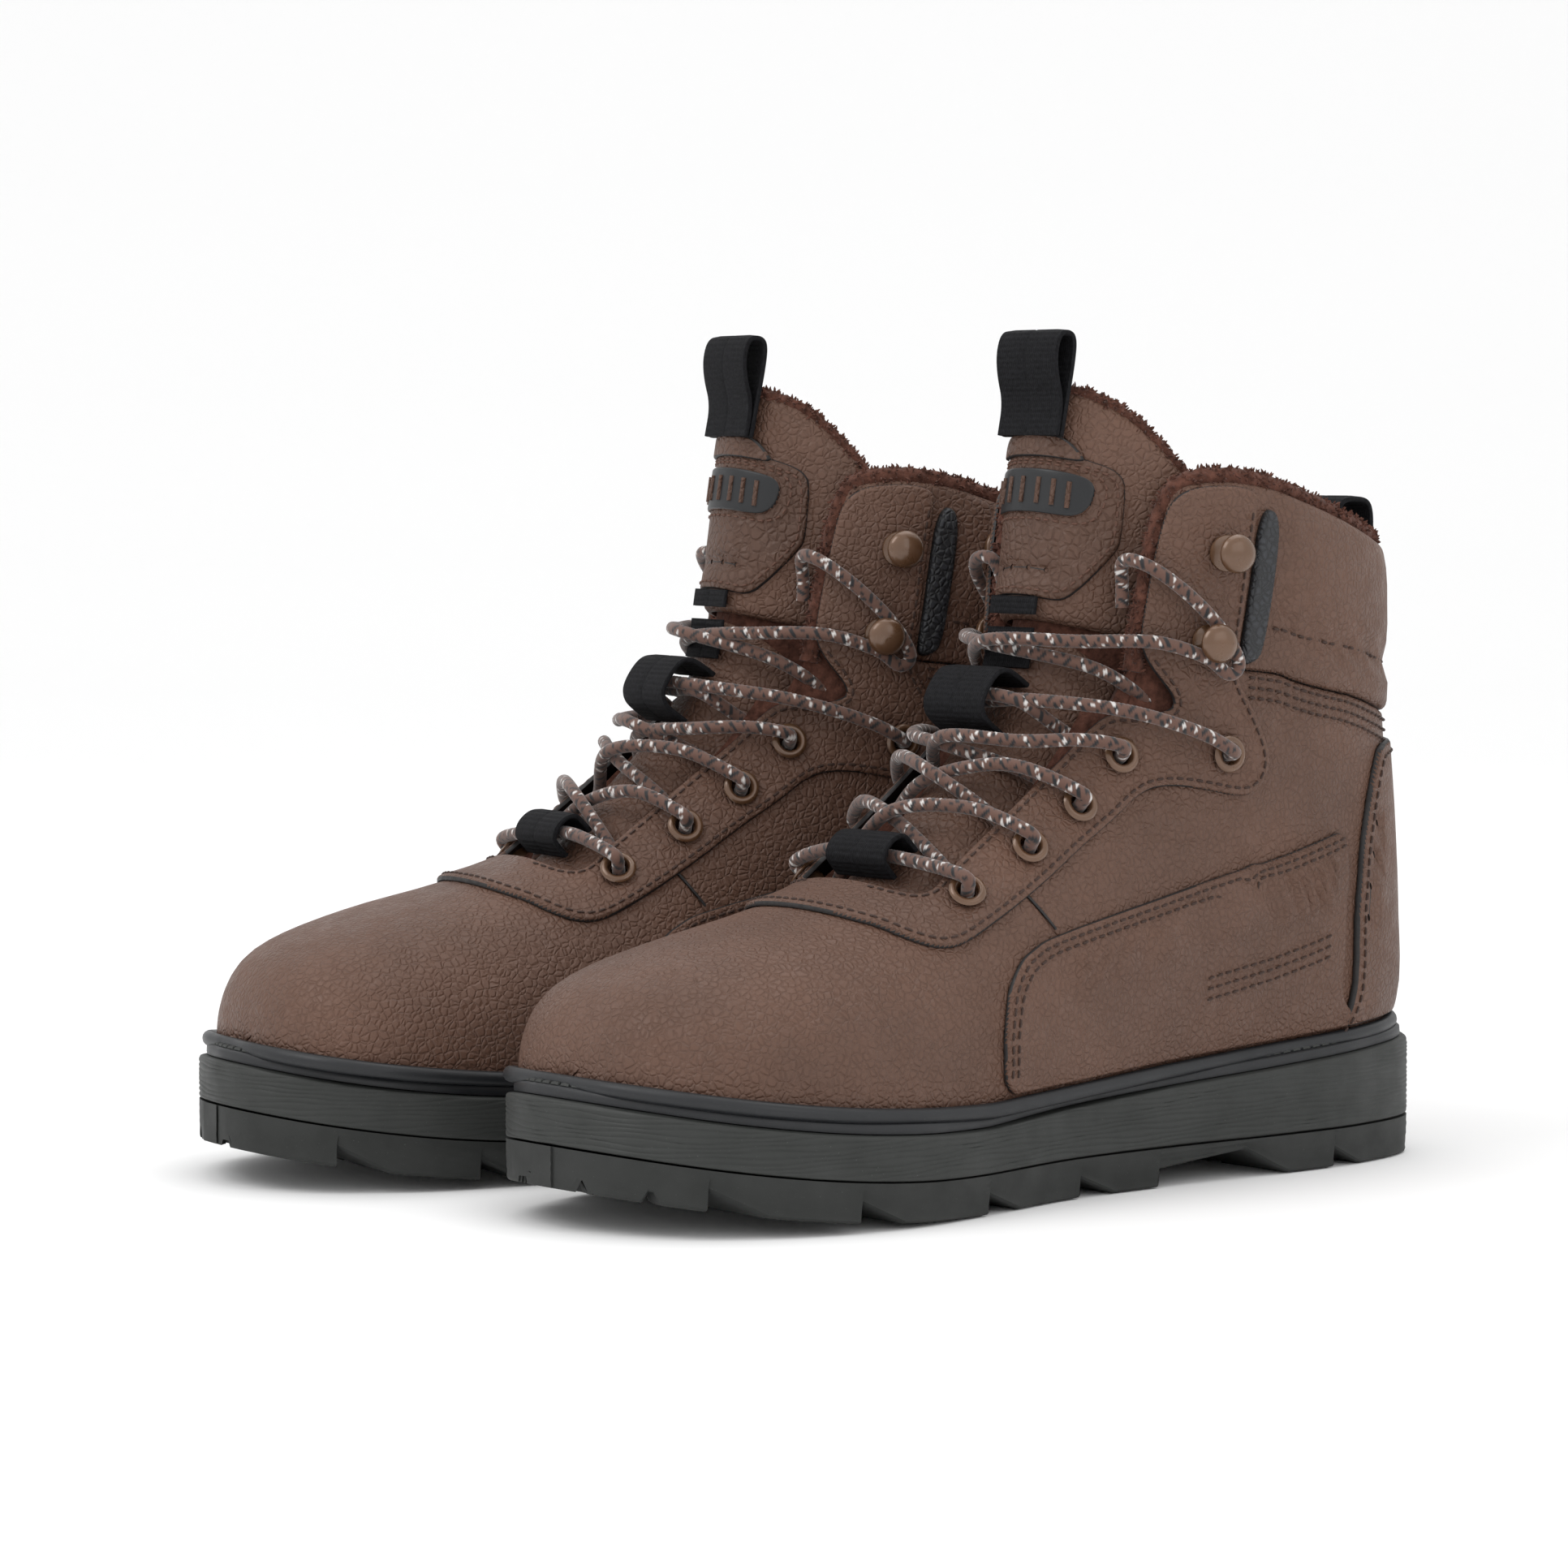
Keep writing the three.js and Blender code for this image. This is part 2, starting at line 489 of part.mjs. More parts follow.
function tonguePanel(fromRow, toRow, lowLift, highLift, half, rows = 8, columns = 12) {
  const grid = (extra) => Array.from({ length: rows + 1 }, (_, r) => Array.from({ length: columns + 1 }, (__, c) => {
    const turn = -1 + (2 * c) / columns;
    const guess = fromRow(0) + (toRow(0) - fromRow(0)) * (r / rows);
    const angle = turn * half(guess);
    const s = fromRow(angle) + (toRow(angle) - fromRow(angle)) * (r / rows);
    return surfacePoint(s, angle, tongueLift(s, angle) + extra);
  }));
  return slab(grid(highLift), grid(lowLift));
}

function tongue() {
  const lower = tonguePanel(() => 6.9, () => FOLD_ROW - FOLD_GAP, -TONGUE_THICKNESS, 0, tongueHalf, 8, 10);
  const foldEdge = (angle) => FOLD_ROW + FOLD_GAP + 1.8 * (angle / 1.3) ** 2;
  const upperHalf = tonguePanel(foldEdge, tongueTopRow, -TONGUE_THICKNESS, 0, tongueHalf, 6, 12);
  const patchHalf = (s) => THREE.MathUtils.lerp(0.3, 0.62, THREE.MathUtils.clamp((s - 13.4) / 1.4, 0, 1));
  const patch = tonguePanel(() => 13.4, () => 16.55, GAP + 0.3, GAP + PATCH_THICKNESS, patchHalf, 6, 8);
  const badgeLow = GAP + PATCH_THICKNESS + GAP;
  const badge = tonguePanel(() => 15.2, () => 16.3, badgeLow, badgeLow + BADGE_THICKNESS, () => 0.42, 3, 8);
  return { tongue_lower: lower, tongue_upper: upperHalf, tongue_patch: patch, tongue_badge: badge };
}

// ---- webbing ----
// webbing bent into a band and extruded across the boot; the outlines run up the boot and outward
const pathThrough = (path, points) => path.setFromPoints(points.map(([x, y]) => new THREE.Vector2(x, y)));
function webbingBand(outline, opening, frame) {
  const shape = pathThrough(new THREE.Shape(), outline);
  shape.holes.push(pathThrough(new THREE.Path(), opening));
  const geometry = new THREE.ExtrudeGeometry(shape, { depth: WEBBING_WIDTH, bevelEnabled: false });
  geometry.translate(0, 0, -WEBBING_WIDTH / 2);
  geometry.applyMatrix4(new THREE.Matrix4().makeBasis(
    new THREE.Vector3(0, 1, 0), new THREE.Vector3(0, 0, 1), new THREE.Vector3(1, 0, 0)));
  return solidFrom(geometry.applyMatrix4(frame));
}

// a keeper: an upright flat ring with chamfered corners
function keeper(length, gap, frame) {
  const t = WEBBING_THICKNESS;
  const ring = (end, low, high, cut) => [[-end + cut, low], [end - cut, low], [end, low + cut], [end, high - cut],
    [end - cut, high], [-end + cut, high], [-end, high - cut], [-end, low + cut]];
  const end = length / 2;
  return webbingBand(ring(end, 0, gap + 2 * t, 2.5), ring(end - t, t, gap + t, 1.8), frame);
}

// a pull loop: both ends sewn flat on each other below an open eye
function pullLoop(frame) {
  const t = WEBBING_THICKNESS;
  const end = LOOP_LENGTH / 2;
  const out = LOOP_GAP + 2 * t;
  const split = -0.18 * LOOP_LENGTH;
  const full = 0.04 * LOOP_LENGTH;
  const outline = [[-end, 0], [end - 2.5, 0], [end, 2.5], [end, out - 2.5], [end - 2.5, out], [full, out],
    [split, 2 * t], [-end, 2 * t]];
  const eye = [[split + t / 3, t], [end - 2 * t, t], [end - t, 2 * t], [end - t, LOOP_GAP], [end - 2 * t, LOOP_GAP + t],
    [full + t / 3, LOOP_GAP + t]];
  return webbingBand(outline, eye, frame);
}

const KEEPER_GAP = 2 * LACE_DIAMETER + 2.9;
function webbing() {
  const lowFrame = surfaceFrame(7.75, 0, crownLower + 0.8);
  const midFrame = surfaceFrame(11.15, 0, crownLower + 0.75);
  const loopFrame = surfaceFrame(18.1, 0, crownUpper + 0.9);
  const rear = rowAt(17.6);
  const rearY = alongY(rear[2]);
  const collarZ = upZ(178);
  const inside = rearY + LINING_IN - 3;
  const t = WEBBING_THICKNESS;
  const out = rearY + 1.6;
  const top = collarZ + HEEL_LOOP_RISE;
  const heel = sideCut([
    [out, collarZ - 16], [out + t, collarZ - 16], [out + t, top - 3], [out - 1, top],
    [inside, top], [inside - t, top - 3], [inside - t, collarZ - 14], [inside, collarZ - 14],
    [inside, top - 4], [inside + 2, top - t], [out - 2, top - t], [out, top - 4],
  ], -WEBBING_WIDTH / 2, WEBBING_WIDTH / 2);
  return {
    keeper_low: keeper(KEEPER_LENGTH, KEEPER_GAP - LACE_DIAMETER, lowFrame),
    keeper_mid: keeper(1.5 * KEEPER_LENGTH, KEEPER_GAP, midFrame),
    pull_loop_front: pullLoop(loopFrame),
    pull_loop_heel: heel,
  };
}

// ---- the lace: row, angle and lift of each point of one half, keeper to tucked end ----
const LACE_HALF = [
  [7.75, 0, 0.4], [7.78, 0.3, 1], [7.9, 0.69, 6.5], // bottom bar
  [7.9, 0.74, 3], [7.9, 0.74, -5.2], [7.98, 0.64, -6.5], [8.15, 0.46, -4.8],
  [8.55, 0, -0.4], [9.05, -0.42, 3.6], [9.3, -0.79, 6.5], // to the second eyelet
  [9.3, -0.84, 3], [9.3, -0.84, -5.2], [9.36, -0.74, -6.5], [9.45, -0.5, -4.8],
  [9.55, 0, 0.3], [10.1, 0.46, 4], [10.4, 0.85, 6.5], // to the third
  [10.4, 0.9, 3], [10.4, 0.9, -5.2], [10.42, 0.8, -6.5], [10.42, 0.56, -4.8],
  [10.2, 0, 0.6], [10.55, -0.45, 4.4], [11.1, -0.7, 6.6], [11.48, -0.86, 6.8], // to the fourth
  [11.5, -0.9, 3], [11.5, -0.9, -5.2], [11.48, -0.8, -6.5], [11.35, -0.56, -4.8], [11.22, -0.3, 2.9],
  [11.15, 0, 0.6], [11.35, 0.36, 3.6], [12.1, 0.8, 7], [12.75, 1.12, 7.4], [12.97, 1.28, 6.8], // through the keeper
  [13, 1.31, 2.6], [13, 1.31, -5.8], [12.95, 1.2, -7], [12.8, 0.95, -5], [12.6, 0.6, -1.2],
  [12.3, 0, 2.1], [12.9, -0.5, 3], [13.7, -0.86, 5.6], [14.06, -1.1, 6.1], // round the lower hook
  [14.1, -1.22, 6.1], [14.4, -1.265, 6.1], [14.66, -1.19, 6.1], [14.84, -1.05, 6], [14.95, -0.88, 5.8],
  [14.95, -0.74, 3.4], [14.8, -0.66, -1.6], [14.4, -0.67, -4.6], [14, -0.69, -5], // tucked beside the tongue
];
const CROSSING_RAISE = 4.4; // the second half crosses over the first by this much
const CROSSING_REACH = 0.5;

// a curve that takes its listed points at even steps
class PointedCurve extends THREE.CatmullRomCurve3 {
  getUtoTmapping(u) {
    return u;
  }
}

function lacePoints() {
  const half = (side, raise) => LACE_HALF.map(([s, a, lift], k) => {
    const share = k === 0 ? 0 : Math.max(1 - Math.abs(a) / CROSSING_REACH, 0);
    return surfacePoint(s, a * side, lift + raise * share);
  });
  return [...half(-1, CROSSING_RAISE).reverse().slice(0, -1), ...half(1, 0)];
}

function lace() {
  const points = lacePoints();
  const path = new PointedCurve(points, false, 'catmullrom', 0.5);
  const section = new THREE.Shape();
  section.absarc(0, 0, LACE_DIAMETER / 2, 0, 2 * Math.PI);
  const geometry = new THREE.ExtrudeGeometry(section,
    { steps: points.length - 1, extrudePath: path, curveSegments: 4 });
  return solidFrom(geometry);
}

// ---- materials ----
const finish = (color, roughness, metalness = 0) => new THREE.MeshStandardMaterial({ color, roughness, metalness });
const FINISHES = {
  leather: () => finish(0x5e473a, 0.62),
  lining: () => finish(0x4a2f25, 0.95),
  rubber: () => finish(0x2b2f2e, 0.7),
  foam: () => finish(0x353a38, 0.75),
  webbing: () => finish(0x1c1c1e, 0.85),
  lace: () => finish(0x4d382d, 0.85),
  metal: () => finish(0x5a4433, 0.35, 0.7),
  board: () => finish(0x8a7a64, 0.9),
  badge: () => finish(0x17181b, 0.5),
  steel: () => finish(0x8c9094, 0.4, 0.9),
};
const FINISH_OF = {
  outsole: 'rubber', midsole: 'foam', shank: 'steel', welt: 'rubber', rand: 'rubber',
  insole_board: 'board', footbed: 'lining', vamp: 'leather', quarters: 'leather', collar: 'leather',
  eyestay: 'leather', overlay_lateral: 'leather', overlay_medial: 'leather', heel_counter: 'leather',
  lining: 'lining', tongue_lower: 'leather', tongue_upper: 'leather', tongue_patch: 'leather',
  tongue_badge: 'badge', keeper_low: 'webbing', keeper_mid: 'webbing', pull_loop_front: 'webbing',
  pull_loop_heel: 'webbing', lace: 'lace', eyelet_row_lateral: 'metal', eyelet_row_medial: 'metal',
  hook_lower_lateral: 'metal', hook_lower_medial: 'metal',
  hook_upper_lateral: 'metal', hook_upper_medial: 'metal',
};

// ---- the pair ----
const solids = {
  ...soleUnit(), ...upper(), ...insides(), ...tongue(), ...webbing(), lace: lace(),
  eyelet_row_lateral: eyeletRow(1), eyelet_row_medial: eyeletRow(-1),
  hook_lower_lateral: laceHook(1, HOOKS.lower), hook_lower_medial: laceHook(-1, HOOKS.lower),
  hook_upper_lateral: laceHook(1, HOOKS.upper), hook_upper_medial: laceHook(-1, HOOKS.upper),
};

const pair = new THREE.Group();
for (const [prefix, side] of [['left', 1], ['right', -1]]) {
  const boot = new THREE.Group();
  boot.position.set(side * STANCE / 2, side * STAGGER / 2, 0);
  boot.rotation.z = side * THREE.MathUtils.degToRad(TOE_OUT);
  for (const [name, solid] of Object.entries(solids)) {
    const mesh = new THREE.Mesh(geometryFrom(solid, side < 0), FINISHES[FINISH_OF[name]]());
    mesh.name = `${prefix}_${name}`;
    boot.add(mesh);
  }
  pair.add(boot);
}
// the origin is the middle of the footprint, on the ground
const box = new THREE.Box3().setFromObject(pair, true);
pair.position.set(-(box.min.x + box.max.x) / 2, -(box.min.y + box.max.y) / 2, 0);

export default pair;
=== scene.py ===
"""A pair of insulated lace-up hunting boots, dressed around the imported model.

Every outline is drawn once for the left boot, in millimetres, in that boot's own frame:
+X lateral, -Y toward the toe, +Z up. The right boot is its mirror image.
"""
import math

import bpy
import numpy as np
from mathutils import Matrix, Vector
from mathutils.geometry import delaunay_2d_cdt


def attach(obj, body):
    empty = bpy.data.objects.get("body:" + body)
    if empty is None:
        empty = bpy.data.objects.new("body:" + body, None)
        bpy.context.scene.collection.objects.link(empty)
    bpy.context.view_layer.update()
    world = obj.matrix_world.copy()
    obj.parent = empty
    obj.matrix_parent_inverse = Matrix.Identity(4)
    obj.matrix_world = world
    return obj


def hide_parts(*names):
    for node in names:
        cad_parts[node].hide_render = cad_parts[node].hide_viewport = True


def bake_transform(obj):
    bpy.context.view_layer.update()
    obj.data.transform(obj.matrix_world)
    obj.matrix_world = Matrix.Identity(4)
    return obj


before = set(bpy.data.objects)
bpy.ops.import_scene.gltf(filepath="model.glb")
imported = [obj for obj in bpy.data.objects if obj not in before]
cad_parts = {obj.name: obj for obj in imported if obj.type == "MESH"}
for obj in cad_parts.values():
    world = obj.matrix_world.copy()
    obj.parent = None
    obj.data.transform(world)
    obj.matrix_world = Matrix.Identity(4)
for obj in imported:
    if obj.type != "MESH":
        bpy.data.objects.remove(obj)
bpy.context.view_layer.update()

bl_info = {
    "name": "Insulated Hunting Boots",
    "version": (1, 0, 0),
    "blender": (4, 5, 0),
    "location": "View3D > Sidebar > Boots",
    "description": "Builds the leather, fleece, webbing, laces and rubber of a pair of hunting boots",
    "category": "Add Mesh",
}

MM = 0.001
GAP = 0.3
SIDES = (("left", 1), ("right", -1))

# ---- where the two boots stand ----
STANCE = 110.0
STAGGER = 31.0
TOE_OUT = math.radians(5)
PAIR_SHIFT = 0.174

# ---- the last: rows of the upper's surface from toe tip to the top of the tongue ----
# front rail y, z | back rail y, z | lateral, medial half width | centre x |
# height share of the widest point | roundness above and below it
ROWS = np.array([
    [-142, 42, -142, 34, 8, 8, -6, 0.5, 2, 2],
    [-140.5, 52, -140.5, 26, 20, 20, -6, 0.45, 2.2, 2.2],
    [-136, 60, -136, 20, 30, 30, -5, 0.42, 2.3, 2.4],
    [-128, 66, -128, 17, 39, 39, -4, 0.4, 2.4, 2.6],
    [-114, 71, -113, 15, 46, 46, -2, 0.38, 2.4, 2.8],
    [-94, 76, -92, 14, 50, 49, 0, 0.36, 2.4, 3],
    [-72, 81, -68, 13, 51, 49, 0, 0.36, 2.3, 3],
    [-51, 87, -42, 13, 50, 47, 0, 0.38, 2.3, 3],
    [-38, 97, -14, 14, 48, 45, 0, 0.42, 2.3, 2.9],
    [-26, 108, 16, 15, 46, 42, 0, 0.46, 2.3, 2.8],
    [-14, 120, 50, 17, 44, 40, 0, 0.5, 2.3, 2.7],
    [-3, 133, 92, 20, 43, 40, 0, 0.52, 2.3, 2.8],
    [5, 146, 127, 24, 43, 40, 0, 0.53, 2.3, 2.9],
    [10, 159, 143.5, 38, 43.5, 41, 0, 0.54, 2.3, 2.6],
    [13, 172, 146.5, 62, 44, 42, 0, 0.54, 2.3, 2.3],
    [15, 185, 144, 92, 44.5, 43, 0, 0.54, 2.3, 2.3],
    [17, 198, 140.5, 120, 45, 43, 0, 0.54, 2.3, 2.3],
    [19, 210, 138.5, 145, 45, 43, 0, 0.54, 2.3, 2.3],
    [21.5, 222, 138.5, 168, 44, 42, 0, 0.54, 2.3, 2.3],
    [24, 234, 139, 188, 43, 41, 0, 0.54, 2.3, 2.3],
])
LAST_ROW = len(ROWS) - 1
TOE_CENTRE = np.array([-6.0, -142.4, 38.0])
PER_ROW = 13.0
PER_RADIAN = 46.0


def catmull_rom(a, b, c, d, t):
    """The smooth curve between b and c, whose neighbours are a and d."""
    return 0.5 * (2 * b + (c - a) * t + (2 * a - 5 * b + 4 * c - d) * t * t
                  + (3 * b - a - 3 * c + d) * t ** 3)


def row_values(s):
    """The nine measures of the last at row s."""
    s = np.clip(s, 0, LAST_ROW)
    i = np.clip(np.floor(s).astype(int), 0, LAST_ROW - 1)
    t = (s - i)[..., None]
    return catmull_rom(*(ROWS[np.clip(i + k, 0, LAST_ROW)] for k in (-1, 0, 1, 2)), t)


def last_point(s, a):
    """A point on the last: s counts rows from the toe, angle 0 is the front rail, +90 degrees lateral."""
    s, a = np.broadcast_arrays(np.asarray(s, float), np.asarray(a, float))
    fy, fz, by, bz, lateral, medial, cx, widest, above, below = np.moveaxis(row_values(s), -1, 0)
    c, n = np.cos(a), np.sin(a)
    power = 2 / np.where(c >= 0, above, below)
    rise = np.abs(c) ** power
    v = np.where(c >= 0, widest + (1 - widest) * rise, widest - widest * rise)
    x = cx + np.sign(n) * np.where(n >= 0, lateral, medial) * np.abs(n) ** power
    p = np.stack([x, by + (fy - by) * v, bz + (fz - bz) * v], -1)
    return p + (TOE_CENTRE - p) * np.clip(-2 * s, 0, 1)[..., None]


def unit(v):
    """Vectors of length one."""
    return v / np.maximum(np.linalg.norm(v, axis=-1, keepdims=True), 1e-9)


def slopes(s, a):
    """How the last's surface runs per row and per radian."""
    ds = (last_point(s + 0.02, a) - last_point(s - 0.02, a)) / 0.04
    da = (last_point(s, a + 0.005) - last_point(s, a - 0.005)) / 0.01
    return ds, da


def last_normal(s, a):
    """The direction that points out of the last's surface."""
    s = np.clip(np.asarray(s, float), -0.45, LAST_ROW - 0.02)
    ds, da = slopes(s, np.asarray(a, float))
    return unit(np.cross(da, ds))


def on_last(s, a, lift=0.0):
    """A point this far outside the last."""
    return last_point(s, a) + last_normal(s, a) * np.asarray(lift, float)[..., None]


LEAST_ANGLE = 0.01
GRID_S, GRID_A = np.meshgrid(
    np.linspace(0, LAST_ROW, 300), np.linspace(LEAST_ANGLE, math.pi - LEAST_ANGLE, 200), indexing="ij")
GRID_YZ = last_point(GRID_S, GRID_A)[..., 1:]


def locate(y, z):
    """Row and angle of the lateral surface point seen at (y, z) from the side."""
    target = np.array([y, z], float)
    k = np.unravel_index(((GRID_YZ - target) ** 2).sum(-1).argmin(), GRID_S.shape)
    s, a = GRID_S[k], GRID_A[k]
    for _ in range(6):
        ds, da = slopes(s, a)
        matrix = np.stack([ds[1:], da[1:]], 1)
        step = np.linalg.lstsq(matrix, target - last_point(s, a)[1:], rcond=1e-2)[0]
        s = s + np.clip(step[0], -0.2, 0.2)
        a = np.clip(a + np.clip(step[1], -0.05, 0.05), LEAST_ANGLE, math.pi - LEAST_ANGLE)
    return s, a


def line(*points):
    """Side-view points as rows and angles on the lateral side."""
    return np.array([locate(y, z) for y, z in points])


def fine_line(*points):
    """As line(), with points added so that the edge stays straight in the side view."""
    dense = [points[0]]
    for (y0, z0), (y1, z1) in zip(points, points[1:]):
        count = max(int(math.hypot(y1 - y0, z1 - z0) / 5), 1)
        dense += [(y0 + (y1 - y0) * k / count, z0 + (z1 - z0) * k / count) for k in range(1, count + 1)]
    return line(*dense)


def medial(path):
    """The same path on the inner side of the foot, in the opposite direction."""
    return path[::-1] * (1, -1)


def around_heel(path):
    """The same path on the inner side, counted on past the heel, in the opposite direction."""
    return np.stack([path[::-1, 0], 2 * math.pi - path[::-1, 1]], 1)


def back_row(z):
    """The row whose back rail stands at this height above the heel's widest point."""
    s = np.linspace(13, LAST_ROW, 400)
    return float(np.interp(z, row_values(s)[:, 3], s))


# ---- paths and outlines ----
def chaikin(p, closed, rounds=2):
    """The path with its corners cut, which rounds it."""
    p = np.asarray(p, float)
    for _ in range(rounds):
        a, b = (p, np.roll(p, -1, 0)) if closed else (p[:-1], p[1:])
        q = np.stack([a * 0.75 + b * 0.25, a * 0.25 + b * 0.75], 1).reshape(-1, p.shape[1])
        p = q if closed else np.vstack([p[:1], q, p[-1:]])
    return p


def spread(p, spacing, closed=False):
    """Even steps along a path of rows and angles, measured on the surface."""
    q = np.vstack([p, p[:1]]) if closed else p
    run = np.linalg.norm(np.diff(last_point(q[:, 0], q[:, 1]), axis=0), axis=1)
    d = np.r_[0, np.cumsum(run)]
    count = max(int(round(d[-1] / spacing)), 3)
    t = np.linspace(0, d[-1], count + 1)
    out = np.stack([np.interp(t, d, q[:, k]) for k in range(2)], 1)
    return out[:-1] if closed else out


def shifted(p, distance, closed=False):
    """The path moved sideways on the surface, to its left as seen from outside."""
    here = last_point(p[:, 0], p[:, 1])
    run = np.roll(here, -1, 0) - np.roll(here, 1, 0) if closed else np.gradient(here, axis=0)
    side = unit(np.cross(last_normal(p[:, 0], p[:, 1]), run)) * np.asarray(distance, float).reshape(-1, 1)
    ds, da = slopes(p[:, 0], p[:, 1])
    ss, aa, sa = (ds * ds).sum(1), (da * da).sum(1), (ds * da).sum(1)
    rs, ra = (side * ds).sum(1), (side * da).sum(1)
    det = np.maximum(ss * aa - sa * sa, 1e-6)
    return p + np.stack([(rs * aa - ra * sa) / det, (ra * ss - rs * sa) / det], 1)


def winding(p):
    """Above zero when the outline runs counter-clockwise seen from outside."""
    return float((p[:, 1] * np.roll(p[:, 0], -1) - np.roll(p[:, 1], -1) * p[:, 0]).sum())


def inside(polygon, points):
    """Which points lie inside the polygon, in rows and angles."""
    x, y = points[:, 0][:, None], points[:, 1][:, None]
    ax, ay = polygon[:, 0], polygon[:, 1]
    bx, by = np.roll(ax, -1), np.roll(ay, -1)
    crosses = (ay > y) != (by > y)
    at = ax + (y - ay) * (bx - ax) / np.where(np.abs(by - ay) < 1e-12, 1e-12, by - ay)
    return (crosses & (x < at)).sum(1) % 2 == 1


def reach(points, path, closed):
    """Distance of each point from a line of points, all in space."""
    a = path
    b = np.roll(path, -1, 0) if closed else path[1:]
    a = a if closed else a[:-1]
    ab = b - a
    best = np.full(len(points), 1e9)
    for k in range(0, len(points), 2000):
        p = points[k:k + 2000, None, :]
        t = np.clip(((p - a) * ab).sum(-1) / np.maximum((ab * ab).sum(-1), 1e-9), 0, 1)
        best[k:k + 2000] = np.linalg.norm(p - a - ab * t[..., None], axis=-1).min(1)
    return best


def smooth(x):
    x = np.clip(x, 0, 1)
    return x * x * (3 - 2 * x)


# ---- shapes: points, faces and the finish of each face ----
class Shape:
    def __init__(self, verts, faces, finish=0, yarn=None):
        self.verts = np.asarray(verts, float)
        self.faces = [np.asarray(f) for f in (faces if isinstance(faces, list) else [faces])]
        if np.isscalar(finish):
            finish = [np.broadcast_to(finish, len(f)) for f in self.faces]
        self.finish = finish
        self.yarn = yarn

    def painted(self, finish):
        self.finish = [np.full(len(f), finish) for f in self.faces]
        return self


def joined(shapes):
    """Several shapes as one."""
    verts, faces, finish, start = [], [], [], 0
    for shape in shapes:
        verts.append(shape.verts)
        faces += [f + start for f in shape.faces]
        finish += list(shape.finish)
        start += len(shape.verts)
    return Shape(np.vstack(verts), faces, finish)


def grid_faces(rows, columns, wrap=False):
    r, c = np.meshgrid(np.arange(rows - 1), np.arange(columns if wrap else columns - 1), indexing="ij")
    a = r * columns + c
    b = r * columns + (c + 1) % columns
    return np.stack([a, b, b + columns, a + columns], -1).reshape(-1, 4)


def loft(rings, caps=True):
    """A closed skin through rings of points, each ring closed on itself."""
    rings = np.asarray(rings)
    count, around = rings.shape[:2]
    verts = rings.reshape(-1, 3)
    faces = [grid_faces(count, around, wrap=True)]
    if caps:
        ends = [(0, verts[:around].mean(0), -1), (count - 1, verts[-around:].mean(0), 1)]
        for ring, centre, way in ends:
            k = np.arange(around)
            a, b = ring * around + k, ring * around + (k + 1) % around
            tip = np.full(around, len(verts))
            verts = np.vstack([verts, centre])
            faces.append(np.stack([a, b, tip], 1) if way > 0 else np.stack([b, a, tip], 1))
    return Shape(verts, faces)


def slab(outer, inner):
    """A closed skin between two matching grids of points."""
    rows, columns = outer.shape[:2]
    size = rows * columns
    verts = np.vstack([outer.reshape(-1, 3), inner.reshape(-1, 3)])
    top = grid_faces(rows, columns)
    rim = np.r_[np.arange(columns), np.arange(1, rows) * columns + columns - 1,
                (rows - 1) * columns + np.arange(columns - 2, -1, -1), np.arange(rows - 2, 0, -1) * columns]
    after = np.roll(rim, -1)
    return Shape(verts, [top, top[:, ::-1] + size, np.stack([after, rim, rim + size, after + size], 1)])


def frames_along(path):
    """Tangent and two side directions that turn as little as they can along a path."""
    tangent = unit(np.gradient(path, axis=0))
    side = np.zeros_like(path)
    start = np.cross(tangent[0], (0.0, 0.0, 1.0))
    side[0] = unit(start if np.linalg.norm(start) > 0.1 else np.cross(tangent[0], (1.0, 0.0, 0.0)))
    for k in range(1, len(path)):
        v = side[k - 1] - tangent[k] * side[k - 1].dot(tangent[k])
        side[k] = v / np.linalg.norm(v)
    return tangent, side, np.cross(tangent, side)


def tube(path, radius, around=12, flat=1.0):
    """A round tube; radius is a number or one value for each ring and each point around it."""
    _, side, up = frames_along(path)
    angle = np.arange(around) / around * 2 * math.pi
    r = np.broadcast_to(radius, (len(path), around))[..., None]
    across = np.cos(angle)[:, None] * side[:, None]
    rings = path[:, None] + r * (across + flat * np.sin(angle)[:, None] * up[:, None])
    return loft(rings)


def lathe(profile, steps, place):
    """A turned piece; its profile is (radius, height) from axis to axis, or a closed loop off the axis."""
    origin, side, along, normal = place
    angle = np.arange(steps) / steps * 2 * math.pi
    spin = np.cos(angle)[:, None] * side + np.sin(angle)[:, None] * along
    rings = np.array([origin + spin * max(r, 0.02) + normal * z for r, z in profile])
    if profile[0][0] > 0.5:
        rings = np.vstack([rings, rings[:1]])
        return loft(rings, caps=False)
    return loft(rings)


def place_on(s, a, lift=0.0):
    normal = last_normal(s, a)
    up = unit(last_point(s + 0.1, a) - last_point(s - 0.1, a))
    side = unit(np.cross(up, normal))
    return on_last(s, a, lift), side, np.cross(normal, side), normal


def round_off(share):
    """The rise of a quarter circle from an edge, 0 to 1."""
    return np.sqrt(np.clip(1 - (1 - np.clip(share, 0, 1)) ** 2, 0, 1))


NO_BASE = (lambda s, a: 0.0)


